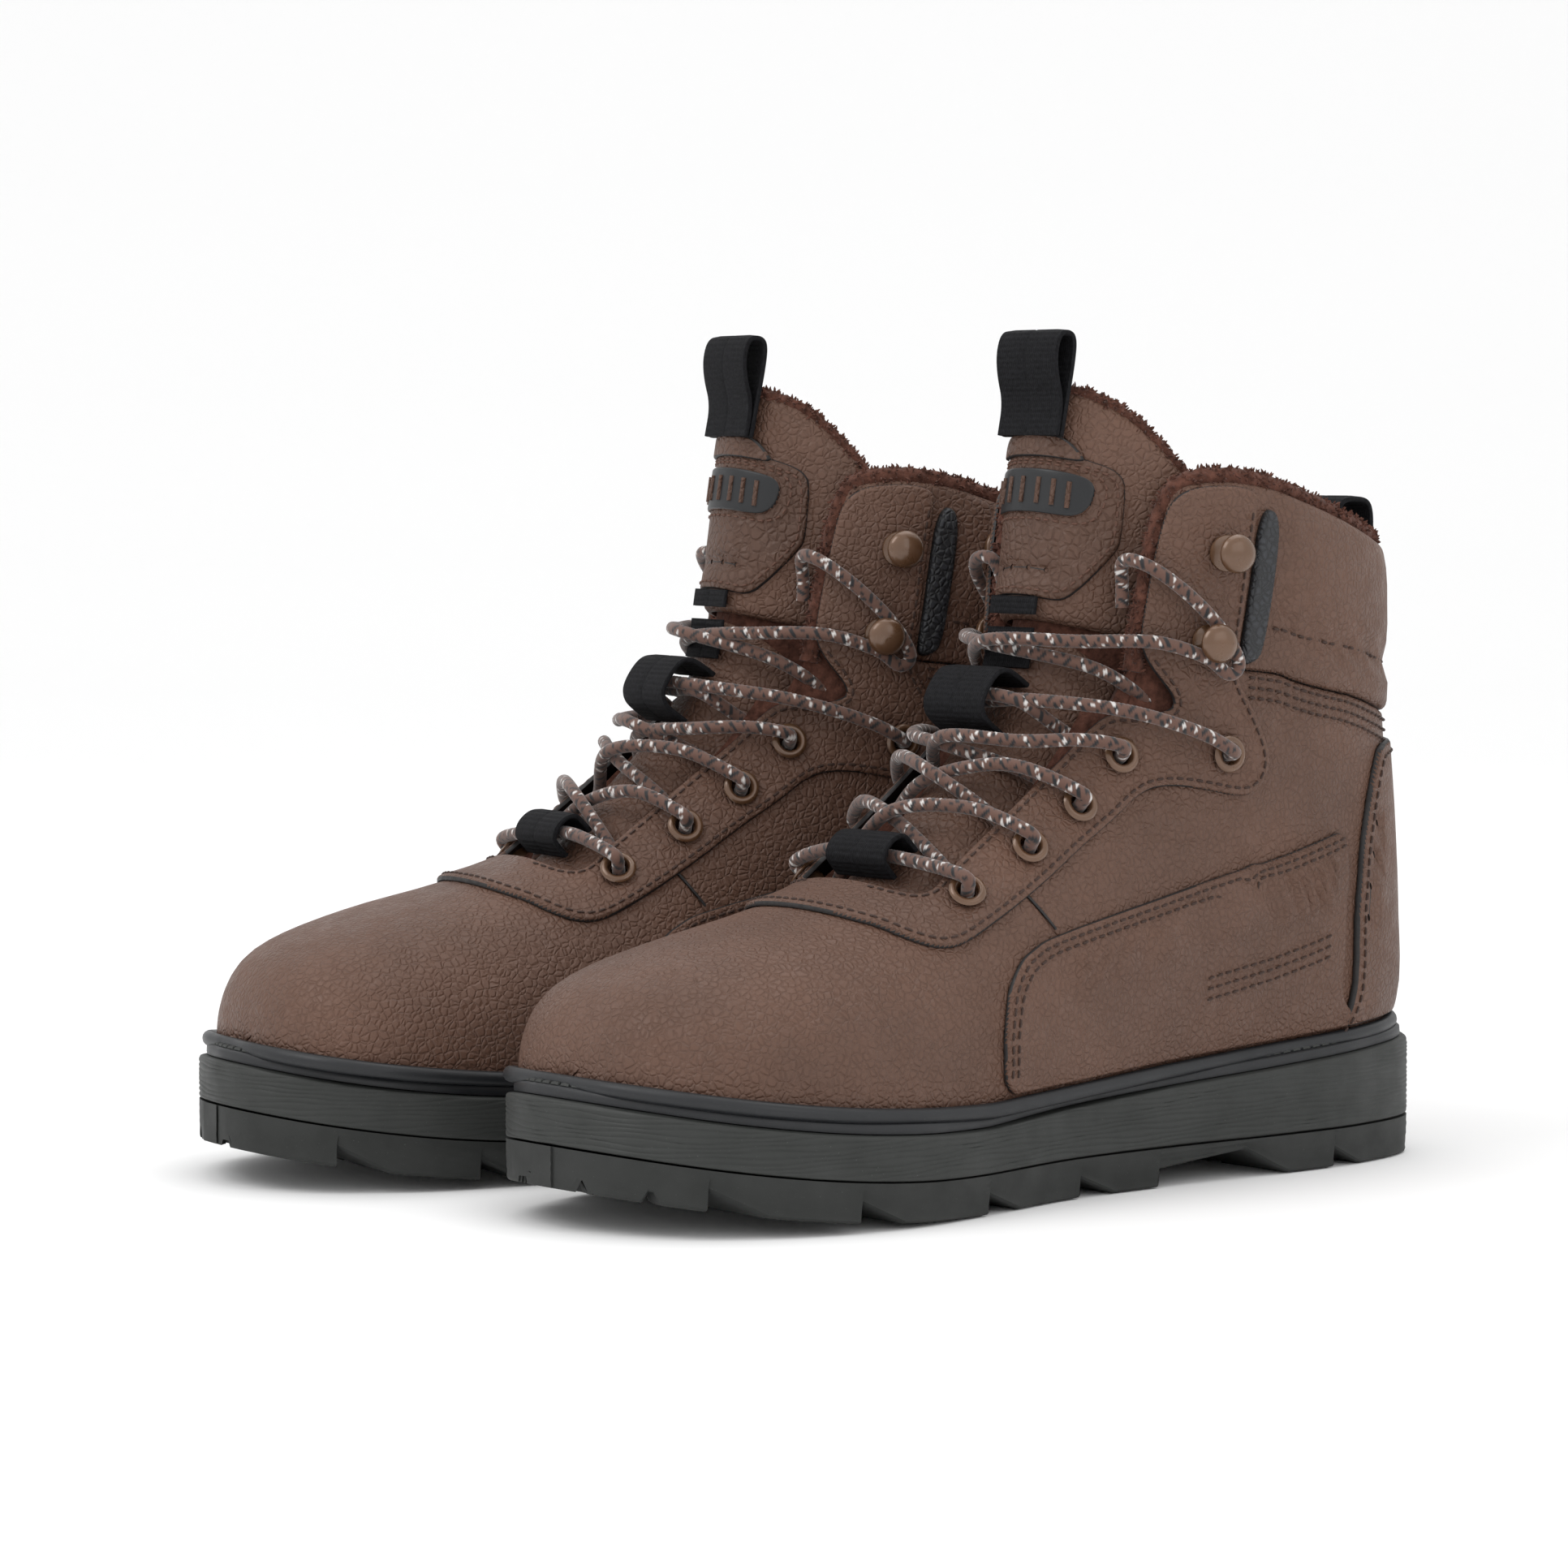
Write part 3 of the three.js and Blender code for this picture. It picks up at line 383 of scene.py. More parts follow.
def panel(outline, lift, thickness, spacing=4.0, rounding=1.3, base=NO_BASE, relief=None, holes=(), soften=2,
          rim=0.45):
    """A cut piece of leather lying on the last: closed, with rounded edges that carry finish 1."""
    edge = spread(chaikin(outline, True, soften) if soften else outline, 1.4, closed=True)
    if winding(edge) < 0:
        edge = edge[::-1].copy()
    scale = np.array([PER_ROW, PER_RADIAN])
    insets = (0.25 * rounding, 0.6 * rounding, rounding, rounding + 1.2)
    rings = [shifted(edge, inset, closed=True) for inset in insets]
    low, high = edge.min(0), edge.max(0)
    steps = spacing / scale
    grid = np.stack(np.meshgrid(np.arange(low[0], high[0], steps[0]), np.arange(low[1], high[1], steps[1]),
                                indexing="ij"), -1).reshape(-1, 2)
    inner = shifted(edge, rounding + 2.4, closed=True)
    grid = grid[inside(inner, grid) & inside(edge, grid)]
    loops = []
    for s, a, radius in holes:
        turn = np.arange(14) / 14 * 2 * math.pi
        ds, da = slopes(s, a)
        ring = np.stack([s + radius * np.cos(turn) / np.linalg.norm(ds),
                         a + radius * np.sin(turn) / np.linalg.norm(da)], 1)
        grid = grid[np.linalg.norm((grid - (s, a)) * scale, axis=1) > radius + 1.2]
        loops.append(ring)
    points = [edge, *loops, *rings, grid]
    flat = np.vstack(points) * scale
    links, start = [], 0
    for ring in [edge, *loops]:
        links += [(start + k, start + (k + 1) % len(ring)) for k in range(len(ring))]
        start += len(ring)
    coords = [Vector((a, s)) for s, a in flat]
    out_verts, _, out_faces = delaunay_2d_cdt(coords, links, [], 1, 1e-5)[:3]
    st = np.array([(v.y, v.x) for v in out_verts]) / scale
    tri = np.array([f for f in out_faces if len(f) == 3])
    centre = st[tri].mean(1)
    for s, a, radius in holes:
        ds, da = slopes(s, a)
        off = (centre - (s, a)) * (np.linalg.norm(ds), np.linalg.norm(da))
        keep = np.linalg.norm(off, axis=1) > radius
        tri, centre = tri[keep], centre[keep]
    used, tri = np.unique(tri, return_inverse=True)
    tri = tri.reshape(-1, 3)
    st = st[used]
    flat_area = np.cross(st[tri[:, 1]] - st[tri[:, 0]], st[tri[:, 2]] - st[tri[:, 0]])
    tri = np.where((flat_area > 0)[:, None], tri[:, ::-1], tri)
    here = last_point(st[:, 0], st[:, 1])
    rim_line = last_point(edge[:, 0], edge[:, 1])
    d = reach(here, rim_line, True)
    for ring in loops:
        d = np.minimum(d, reach(here, last_point(ring[:, 0], ring[:, 1]), True))
    under = base(st[:, 0], st[:, 1]) + lift
    over = under + thickness * (0.25 + 0.75 * round_off(d / rounding))
    if relief is not None:
        over = over + relief(here, d)
    face, back = (on_last(st[:, 0], st[:, 1], height + np.zeros(len(st))) for height in (over, under))
    verts = np.vstack([face, back])
    pairs = np.vstack([tri[:, [0, 1]], tri[:, [1, 2]], tri[:, [2, 0]]])
    key = {tuple(p) for p in pairs.tolist()}
    border = np.array([p for p in pairs.tolist() if (p[1], p[0]) not in key])
    n = len(st)
    wall = np.stack([border[:, 1], border[:, 0], border[:, 0] + n, border[:, 1] + n], 1)
    near = (d[tri] < rim).all(1).astype(int)
    painted = [near, np.ones(len(tri), int), np.ones(len(wall), int)]
    return Shape(verts, [tri, tri[:, ::-1] + n, wall], painted)


def stitches(path, lift, pitch=3.3, length=2.3, width=0.75, base=NO_BASE):
    """A row of sewn stitches, each a small rounded bar sunk at both ends."""
    path = spread(path, pitch)
    s, a = (path[1:] + path[:-1]).T / 2
    run = unit(np.diff(last_point(path[:, 0], path[:, 1]), axis=0))
    normal = last_normal(s, a)
    centre = on_last(s, a, base(s, a) + np.full(len(s), lift))
    side = unit(np.cross(normal, run))
    return bars(centre, run, side, normal, length, width)


def bars(centre, run, side, normal, length, width):
    """Short rounded bars with both ends sunk."""
    ring_at = np.array([-0.5, -0.4, 0, 0.4, 0.5]) * length
    swell = np.array([0.35, 0.9, 1, 0.9, 0.35]) * width / 2
    sink = np.array([-0.35, 0, 0.08, 0, -0.35]) * width
    angle = np.arange(6) / 6 * 2 * math.pi
    shape = (centre[:, None, None] + run[:, None, None] * ring_at[:, None, None]
             + side[:, None, None] * (swell[:, None] * np.cos(angle))[..., None]
             + normal[:, None, None] * (swell[:, None] * np.sin(angle) + sink[:, None])[..., None])
    return repeated(shape, loft(shape[0]).faces)


def repeated(rings, faces):
    """Many small lofted pieces with the same faces; rings is piece, ring, around, xyz."""
    count, rows, around = rings.shape[:3]
    ends = np.stack([rings[:, 0].mean(1), rings[:, -1].mean(1)], 1)
    verts = np.concatenate([rings.reshape(count, -1, 3), ends], 1)
    offset = (np.arange(count) * verts.shape[1])[:, None, None]
    return Shape(verts.reshape(-1, 3), [(f[None] + offset).reshape(-1, f.shape[1]) for f in faces])


def tufts(points, normals, length, width, seed):
    """Fleece pile: small leaning cones that stand on a surface."""
    rng = np.random.default_rng(seed)
    lean = unit(normals + rng.normal(0, 0.55, normals.shape))
    side = unit(np.cross(lean, rng.normal(0, 1, normals.shape)))
    up = np.cross(lean, side)
    size = rng.uniform(0.6, 1.25, len(points))
    angle = np.arange(4) / 4 * 2 * math.pi
    base = (np.cos(angle)[:, None] * side[:, None] + np.sin(angle)[:, None] * up[:, None]) * width / 2
    reach_out = np.array([-0.3, 0.55, 1.0]) * length
    share = np.array([1.0, 0.85, 0.2])
    size = size[:, None, None, None]
    rings = (points[:, None, None] + lean[:, None, None] * (reach_out[:, None, None] * size)
             + base[:, None] * (share[:, None, None] * size))
    return repeated(rings, loft(rings[0]).faces)


# ---- objects in the pair's frame ----
def pair_frame(verts, side):
    """A boot's own millimetres as the pair's metres: mirrored, turned outward and set down."""
    turn = side * TOE_OUT
    x = verts[:, 0] * side
    y = verts[:, 1]
    pair_x = x * math.cos(turn) - y * math.sin(turn) + side * STANCE / 2
    pair_y = x * math.sin(turn) + y * math.cos(turn) + side * STAGGER / 2 + PAIR_SHIFT
    return np.stack([pair_x, pair_y, verts[:, 2]], 1) * MM


def add_piece(name, shape, side, materials, sharp=math.radians(50)):
    """One boot's piece as an object in the pair's frame."""
    faces = []
    for f in shape.faces:
        faces += (f if side > 0 else f[:, ::-1]).tolist()
    mesh = bpy.data.meshes.new(name)
    mesh.from_pydata(pair_frame(shape.verts, side).tolist(), [], faces)
    for material in materials:
        mesh.materials.append(material)
    mesh.polygons.foreach_set("material_index", np.concatenate(shape.finish).astype(np.int32))
    if shape.yarn is not None:
        colour = mesh.attributes.new("yarn", "FLOAT_COLOR", "POINT")
        opaque = np.c_[shape.yarn, np.ones(len(shape.yarn))]
        colour.data.foreach_set("color", opaque.ravel().astype(np.float32))
    mesh.validate()
    mesh.shade_smooth()
    mesh.set_sharp_from_angle(angle=sharp)
    obj = bpy.data.objects.new(name, mesh)
    bpy.context.scene.collection.objects.link(obj)
    return obj


def dress(name, shape, materials, replaced=(), body="boot", sharp=math.radians(50)):
    """The same piece on both boots, riding on its body and standing for the named sub-parts."""
    made = []
    for prefix, side in SIDES:
        obj = add_piece(f"{prefix}_{name}", shape, side, materials, sharp)
        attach(obj, f"{prefix}_{body}")
        if replaced:
            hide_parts(*[f"{prefix}_{node}" for node in replaced])
        made.append(obj)
    return made


# ---- sizes and colours a user would change ----
class BootColours(bpy.types.PropertyGroup):
    leather: bpy.props.FloatVectorProperty(
        name="Leather", description="Main colour of the upper's leather",
        subtype="COLOR", default=(0.116, 0.060, 0.040), min=0, max=1)
    edge: bpy.props.FloatVectorProperty(
        name="Edge paint", description="Dark paint on the cut edges of the leather",
        subtype="COLOR", default=(0.012, 0.010, 0.010), min=0, max=1)
    thread: bpy.props.FloatVectorProperty(
        name="Thread", description="Sewing thread of the upper",
        subtype="COLOR", default=(0.036, 0.016, 0.010), min=0, max=1)
    fleece: bpy.props.FloatVectorProperty(
        name="Fleece", description="Pile of the lining",
        subtype="COLOR", default=(0.095, 0.040, 0.028), min=0, max=1)
    midsole: bpy.props.FloatVectorProperty(
        name="Midsole", description="Ridged sidewall of the sole",
        subtype="COLOR", default=(0.022, 0.024, 0.022), min=0, max=1)
    rubber: bpy.props.FloatVectorProperty(
        name="Rubber", description="Welt, rand and tread",
        subtype="COLOR", default=(0.011, 0.012, 0.014), min=0, max=1)
    webbing: bpy.props.FloatVectorProperty(
        name="Webbing", description="Pull loops and keepers",
        subtype="COLOR", default=(0.006, 0.006, 0.007), min=0, max=1)
    metal: bpy.props.FloatVectorProperty(
        name="Hooks", description="Lacquer of the hooks and eyelets",
        subtype="COLOR", default=(0.125, 0.062, 0.030), min=0, max=1)


class BootSizes(bpy.types.PropertyGroup):
    stitch: bpy.props.FloatProperty(
        name="Stitch", description="Length of one stitch",
        subtype="DISTANCE", default=2.3 * MM, min=1 * MM, max=5 * MM, precision=4)
    pile: bpy.props.FloatProperty(
        name="Pile", description="Height of the fleece pile",
        subtype="DISTANCE", default=1.25 * MM, min=0.4 * MM, max=4 * MM, precision=5)
    ridge: bpy.props.FloatProperty(
        name="Ridge pitch", description="Height of one ridge of the sidewall",
        subtype="DISTANCE", default=1.45 * MM, min=0.8 * MM, max=4 * MM, precision=5)
    ridge_depth: bpy.props.FloatProperty(
        name="Ridge depth", description="Depth of the sidewall's ridges",
        subtype="DISTANCE", default=0.34 * MM, min=0, max=1 * MM, precision=5)
    rib: bpy.props.FloatProperty(
        name="Webbing rib", description="Pitch of the ribs across the webbing",
        subtype="DISTANCE", default=1.55 * MM, min=0.8 * MM, max=4 * MM, precision=5)
    yarn: bpy.props.FloatProperty(
        name="Yarn relief", description="How far the lace's yarns stand out",
        subtype="DISTANCE", default=0.17 * MM, min=0, max=0.5 * MM, precision=5)


def size_of(name):
    """One of the user's sizes, in millimetres."""
    return getattr(bpy.context.scene.boot_sizes, name) / MM


def colours():
    return bpy.context.scene.boot_colours


# ---- finishes ----
class Finish:
    """A material with its nodes laid out by short calls."""

    def __init__(self, name, colour, roughness, **sockets):
        self.material = bpy.data.materials.new(name)
        self.material.use_nodes = True
        self.tree = self.material.node_tree
        self.shader = self.tree.nodes["Principled BSDF"]
        self.shader.inputs["Base Color"].default_value = (*colour, 1)
        self.shader.inputs["Roughness"].default_value = roughness
        for socket, value in sockets.items():
            self.shader.inputs[socket.replace("_", " ")].default_value = value
        self.place = self.tree.nodes.new("ShaderNodeTexCoord").outputs["Object"]

    def node(self, kind, links=None, **settings):
        made = self.tree.nodes.new(f"ShaderNode{kind}")
        for key, value in settings.items():
            setattr(made, key, value)
        for socket, value in (links or {}).items():
            if isinstance(value, bpy.types.NodeSocket):
                self.tree.links.new(value, made.inputs[socket])
            else:
                made.inputs[socket].default_value = value
        return made

    def noise(self, scale, detail=3, place=None):
        links = {"Vector": place or self.place, "Scale": scale, "Detail": detail}
        return self.node("TexNoise", links).outputs["Fac"]

    def ramp(self, source, low, high, start=0.0, end=1.0):
        links = {"Value": source, "From Min": start, "From Max": end, "To Min": low, "To Max": high}
        return self.node("MapRange", links).outputs["Result"]

    def tint(self, source, dark, light):
        made = self.node("Mix", {"Factor": source}, data_type="RGBA")
        made.inputs[6].default_value = (*dark, 1)
        made.inputs[7].default_value = (*light, 1)
        self.tree.links.new(made.outputs[2], self.shader.inputs["Base Color"])

    def rough(self, source, low, high, start=0.3, end=0.7):
        self.tree.links.new(self.ramp(source, low, high, start, end), self.shader.inputs["Roughness"])

    def bump(self, *layers):
        """Layers of (height, strength, depth in metres), the coarsest first."""
        normal = None
        for height, strength, depth in layers:
            links = {"Height": height, "Strength": strength, "Distance": depth}
            if normal is not None:
                links["Normal"] = normal
            normal = self.node("Bump", links).outputs["Normal"]
        self.tree.links.new(normal, self.shader.inputs["Normal"])
        return self.material


def shade(colour, share):
    """The colour made darker or lighter."""
    return tuple(min(c * share, 1) for c in colour)


def leather_finish(name="leather", grain=480, depth=0.00045, share=1.0):
    """Pebbled leather: crackled cells with a soft, patchy colour."""
    base = shade(colours().leather, share)
    f = Finish(name, base, 0.5, Specular_IOR_Level=0.34)
    warp = f.node("VectorMath", {0: f.place, 1: f.node("VectorMath", {
        0: f.node("TexNoise", {"Vector": f.place, "Scale": 260.0, "Detail": 2.0}).outputs["Color"],
        1: (0.0022, 0.0022, 0.0022)}, operation="MULTIPLY").outputs[0]}, operation="ADD").outputs[0]
    cells = f.node("TexVoronoi", {"Vector": warp, "Scale": float(grain)}, feature="DISTANCE_TO_EDGE")
    creases = f.ramp(cells.outputs["Distance"], 0.0, 1.0, 0.0, 0.22)
    patchy = f.noise(30.0, 4)
    f.tint(f.ramp(patchy, 0, 1, 0.3, 0.7), shade(base, 0.86), shade(base, 1.12))
    f.rough(f.noise(160.0, 3), 0.44, 0.60)
    waves, pores = f.noise(55.0, 3), f.noise(1900.0, 2)
    return f.bump((waves, 0.3, 0.0018), (creases, 0.75, depth), (pores, 0.3, 0.00012))


def edge_finish():
    f = Finish("edge_paint", colours().edge, 0.55)
    f.rough(f.noise(500.0), 0.45, 0.7)
    return f.bump((f.noise(1500.0), 0.4, 0.0002))


def thread_finish(name="thread", share=1.0):
    f = Finish(name, shade(colours().thread, share), 0.7)
    f.tint(f.noise(900.0), shade(colours().thread, share * 0.75), shade(colours().thread, share * 1.35))
    return f.bump((f.noise(2600.0), 0.5, 0.0002))


def fleece_finish():
    base = colours().fleece
    f = Finish("fleece", base, 0.95, Sheen_Weight=0.08, Sheen_Roughness=0.5, Specular_IOR_Level=0.1)
    f.tint(f.ramp(f.noise(420.0, 4), 0, 1, 0.3, 0.7), shade(base, 0.62), shade(base, 1.35))
    return f.bump((f.noise(520.0, 5), 0.9, 0.0012))


def rubber_finish(name, base, low=0.45, high=0.62):
    f = Finish(name, base, 0.5, Specular_IOR_Level=0.45)
    specks = f.ramp(f.noise(2300.0, 1), 0, 1, 0.74, 0.80)
    f.tint(specks, base, shade(base, 3.6))
    f.rough(f.noise(90.0, 4), low, high)
    return f.bump((f.noise(70.0, 2), 0.15, 0.0008), (f.noise(1500.0, 2), 0.25, 0.0001))


def webbing_finish():
    base = colours().webbing
    f = Finish("webbing", base, 0.8, Specular_IOR_Level=0.15)
    weave = {"Vector": f.place, "Scale": 560.0, "Distortion": 2.5, "Detail": 2.0}
    fine = f.node("TexWave", weave).outputs["Fac"]
    f.tint(f.ramp(f.noise(1200.0), 0, 1, 0.3, 0.7), shade(base, 0.7), shade(base, 2.1))
    return f.bump((fine, 0.5, 0.0002), (f.noise(1700.0), 0.4, 0.00015))


def metal_finish():
    base = colours().metal
    f = Finish("lacquered_metal", base, 0.3, Metallic=0.35, Coat_Weight=0.6, Coat_Roughness=0.12)
    f.tint(f.noise(140.0), shade(base, 0.8), shade(base, 1.15))
    f.rough(f.noise(300.0), 0.24, 0.42)
    return f.bump((f.noise(420.0), 0.12, 0.0002))


def lace_finish():
    f = Finish("lace_yarn", (0.12, 0.06, 0.04), 0.8, Sheen_Weight=0.3)
    yarn = f.node("Attribute", attribute_name="yarn").outputs["Color"]
    worn = f.ramp(f.noise(2400.0), 0, 0.5)
    mixed = f.node("Mix", {"Factor": worn}, data_type="RGBA", blend_type="MULTIPLY")
    f.tree.links.new(yarn, mixed.inputs[6])
    mixed.inputs[7].default_value = (0.55, 0.5, 0.48, 1)
    f.tree.links.new(mixed.outputs[2], f.shader.inputs["Base Color"])
    return f.bump((f.noise(3200.0), 0.5, 0.00015))


def board_finish():
    f = Finish("fibre_board", (0.30, 0.25, 0.18), 0.9)
    f.tint(f.noise(300.0), (0.24, 0.19, 0.13), (0.36, 0.30, 0.22))
    return f.bump((f.noise(900.0), 0.5, 0.0003))


def steel_finish():
    f = Finish("spring_steel", (0.5, 0.5, 0.5), 0.35, Metallic=1.0)
    f.rough(f.noise(700.0), 0.25, 0.45)
    return f.bump((f.noise(500.0), 0.1, 0.0001))


def strip_finish():
    """The black grained leather of the ankle strip, with painted shade in its grain's creases."""
    base = (0.014, 0.015, 0.018)
    f = Finish("black_leather", base, 0.5)
    cells = f.node("TexVoronoi", {"Vector": f.place, "Scale": 480.0}, feature="DISTANCE_TO_EDGE")
    grain = cells.outputs["Distance"]
    # painted shade: the grain's creases are coloured darker and its raised cells lighter, following the bump
    # below
    f.tint(f.ramp(grain, 0, 1, 0, 0.3), shade(base, 0.5), shade(base, 1.7))
    return f.bump((f.ramp(grain, 0, 1, 0, 0.25), 0.8, 0.0004))


FINISH_MAKERS = {
    "leather": leather_finish,
    "patch_leather": lambda: leather_finish("patch_leather", grain=380, depth=0.0006, share=0.78),
    "strip_leather": strip_finish,
    "edge": edge_finish, "thread": thread_finish, "fleece": fleece_finish,
    "light_thread": lambda: thread_finish("light_thread", 2.6),
    "midsole": lambda: rubber_finish("ridged_rubber", colours().midsole, 0.5, 0.68),
    "rubber": lambda: rubber_finish("smooth_rubber", colours().rubber, 0.38, 0.55),
    "tread": lambda: rubber_finish("tread_rubber", shade(colours().midsole, 0.68), 0.55, 0.75),
    "badge": lambda: rubber_finish("badge_plastic", shade(colours().rubber, 0.8), 0.35, 0.5),
    "webbing": webbing_finish, "metal": metal_finish, "lace": lace_finish,
    "board": board_finish, "steel": steel_finish,
}
made_finishes = {}


def finish(name):
    """The finish of this name, made when it is first asked for."""
    if name not in made_finishes:
        made_finishes[name] = FINISH_MAKERS[name]()
    return made_finishes[name]


# ---- the lace ----
LACE_DIAMETER = 3.8
LACE_HALF = [
    (7.75, 0, 0.4), (7.78, 0.3, 1), (7.9, 0.69, 6.5),
    (7.9, 0.74, 3), (7.9, 0.74, -5.2), (7.98, 0.64, -6.5), (8.15, 0.46, -4.8),
    (8.55, 0, -0.4), (9.05, -0.42, 3.6), (9.3, -0.79, 6.5),
    (9.3, -0.84, 3), (9.3, -0.84, -5.2), (9.36, -0.74, -6.5), (9.45, -0.5, -4.8),
    (9.55, 0, 0.3), (10.1, 0.46, 4), (10.4, 0.85, 6.5),
    (10.4, 0.9, 3), (10.4, 0.9, -5.2), (10.42, 0.8, -6.5), (10.42, 0.56, -4.8),
    (10.2, 0, 0.6), (10.55, -0.45, 4.4), (11.1, -0.7, 6.6), (11.48, -0.86, 6.8),
    (11.5, -0.9, 3), (11.5, -0.9, -5.2), (11.48, -0.8, -6.5), (11.35, -0.56, -4.8), (11.22, -0.3, 2.9),
    (11.15, 0, 0.6), (11.35, 0.36, 3.6), (12.1, 0.8, 7), (12.75, 1.12, 7.4), (12.97, 1.28, 6.8),
    (13, 1.31, 2.6), (13, 1.31, -5.8), (12.95, 1.2, -7), (12.8, 0.95, -5), (12.6, 0.6, -1.2),
    (12.3, 0, 2.1), (12.9, -0.5, 3), (13.7, -0.86, 5.6), (14.06, -1.1, 6.1),
    (14.1, -1.22, 6.1), (14.4, -1.265, 6.1), (14.66, -1.19, 6.1), (14.84, -1.05, 6), (14.95, -0.88, 5.8),
    (14.95, -0.74, 3.4), (14.8, -0.66, -1.6), (14.4, -0.67, -4.6), (14, -0.69, -5),
]
CROSSING_RAISE = 4.4
CROSSING_REACH = 0.5


def lace_route():
    """The lace's middle line: the second half crosses over the first."""
    def half(side, rise):
        s, a, lift = np.array(LACE_HALF, float).T
        share = np.maximum(1 - np.abs(a) / CROSSING_REACH, 0)
        share[0] = 0
        return on_last(s, a * side, lift + rise * share)
    points = np.vstack([half(-1, CROSSING_RAISE)[::-1][:-1], half(1, 0)])
    ends = np.vstack([2 * points[0] - points[1], points, 2 * points[-1] - points[-2]])
    t = np.arange(0, 1, 0.05)[:, None]
    spans = []
    for k in range(1, len(ends) - 2):
        spans.append(catmull_rom(*ends[k - 1:k + 3], t))
    return np.vstack([*spans, points[-1:]])


def even_steps(path, spacing):
    """Even points along a path, and how far along each one is."""
    d = np.r_[0, np.cumsum(np.linalg.norm(np.diff(path, axis=0), axis=1))]
    t = np.linspace(0, d[-1], int(d[-1] / spacing) + 1)
    return np.stack([np.interp(t, d, path[:, k]) for k in range(3)], 1), t


def braid(along, around):
    """Relief and colour of a round braid: two sets of yarns that pass over and under each other."""
    turn = np.arange(around) / around
    v, u = np.meshgrid(along / 7.4, turn, indexing="ij")
    p, q = 6 * (u + v), 6 * (u - v)
    over = (np.floor(p) + np.floor(q)) % 2 == 0
    hump = np.where(over, np.abs(np.sin(math.pi * p)), np.abs(np.sin(math.pi * q)))
    strand = np.where(over, np.floor(p) % 6, np.floor(q) % 6 + 6)
    cell = np.floor(along / 1.25)[:, None]
    colour = np.empty((*v.shape, 3))
    colour[:] = (0.130, 0.064, 0.045)
    colour[(strand == 2) | (strand == 5) | (strand == 8)] = (0.010, 0.010, 0.012)
    fleck = ((strand == 0) | (strand == 6)) & (np.mod(cell, 8) < 2.0)
    fleck |= (strand == 3) & (np.mod(cell + 4, 8) < 2.0)
    colour[fleck] = (0.72, 0.70, 0.68)
    return hump, colour.reshape(-1, 3)


def build_laces():
    """A braided lace on each boot, through eyelets and keepers and round the hooks."""
    path, along = even_steps(lace_route(), 0.42)
    around = 16
    hump, yarn = braid(along, around)
    radius = LACE_DIAMETER / 2 - 0.04 + size_of("yarn") * (hump - 0.55)
    shape = tube(path, radius, around)
    shape.yarn = np.vstack([yarn, yarn[:1], yarn[-1:]])
    pieces = dress("lace_braid", shape, [finish("lace")], ["lace"], sharp=math.radians(80))


# ---- the sole ----
SOLE_POINTS = np.array([[2, 151], [30, 139], [41, 110], [43, 75], [42, 35], [44, -5], [53, -45], [57, -75],
                        [51, -108], [32, -137], [-6, -151], [-36, -139], [-51, -108], [-54, -70], [-49, -35],
                        [-40, 5], [-36, 45], [-38, 90], [-35, 125], [-20, 146]], float)
BALL_Y = -40.0
HALF_SOLE = 151.0
TOE_SPRING = 11.5
FORE_HEIGHT = 23.5
HEEL_RISE = 11.5
HEEL_RUN = 190.3
OUTSOLE_HEIGHT = 11.0
TREAD_DEPTH = 5.5
NOTCHES = (-129, -90, -43, -2)
NOTCH_RUN = 14
ARCH = ((29, 5), (62, 8), (72, 3), (79, 0))
HEEL_NOTCH = (97, 109)


def toe_lift(y):
    """The sole's rise toward the toe."""
    return TOE_SPRING * np.maximum((BALL_Y - y) / (HALF_SOLE + BALL_Y), 0) ** 2


def sole_top(y):
    """Height of the sole's upper face, which climbs to the heel."""
    return FORE_HEIGHT + HEEL_RISE * np.clip((y - BALL_Y) / HEEL_RUN, 0, 1) + toe_lift(y)


def parting(y):
    """Height of the line between tread and sidewall."""
    return OUTSOLE_HEIGHT + toe_lift(y)


def sole_outline(count):
    """Even points round the sole's edge, and the outward direction at each."""
    n = len(SOLE_POINTS)
    t = np.arange(0, n, 0.02)
    i = t.astype(int)
    f = (t - i)[:, None]
    dense = catmull_rom(*(SOLE_POINTS[(i + k) % n] for k in (-1, 0, 1, 2)), f)
    loop = np.vstack([dense, dense[:1]])
    run = np.r_[0, np.cumsum(np.linalg.norm(np.diff(loop, axis=0), axis=1))]
    at = np.linspace(0, run[-1], count, endpoint=False)
    p = np.stack([np.interp(at, run, loop[:, k]) for k in range(2)], 1)
    tangent = np.roll(p, -1, 0) - np.roll(p, 1, 0)
    tangent /= np.linalg.norm(tangent, axis=1)[:, None]
    return p, np.stack([-tangent[:, 1], tangent[:, 0]], 1), at


def ring(p, outward, inset, z):
    """The outline moved inward and set at a height."""
    xy = p - outward * np.reshape(inset, (-1, 1))
    return np.c_[xy, np.broadcast_to(z, len(xy))]


def ridge_relief(at, height):
    """Fine ridges that wander a little up and down as they run round the sole."""
    wander = 0.55 * np.sin(at / 23 + 1.3) + 0.35 * np.sin(at / 9.1 + height * 0.7)
    wander = wander + 0.18 * np.sin(at / 3.7 - height)
    return np.abs(np.sin(math.pi * (height + wander) / size_of("ridge"))) ** 0.7


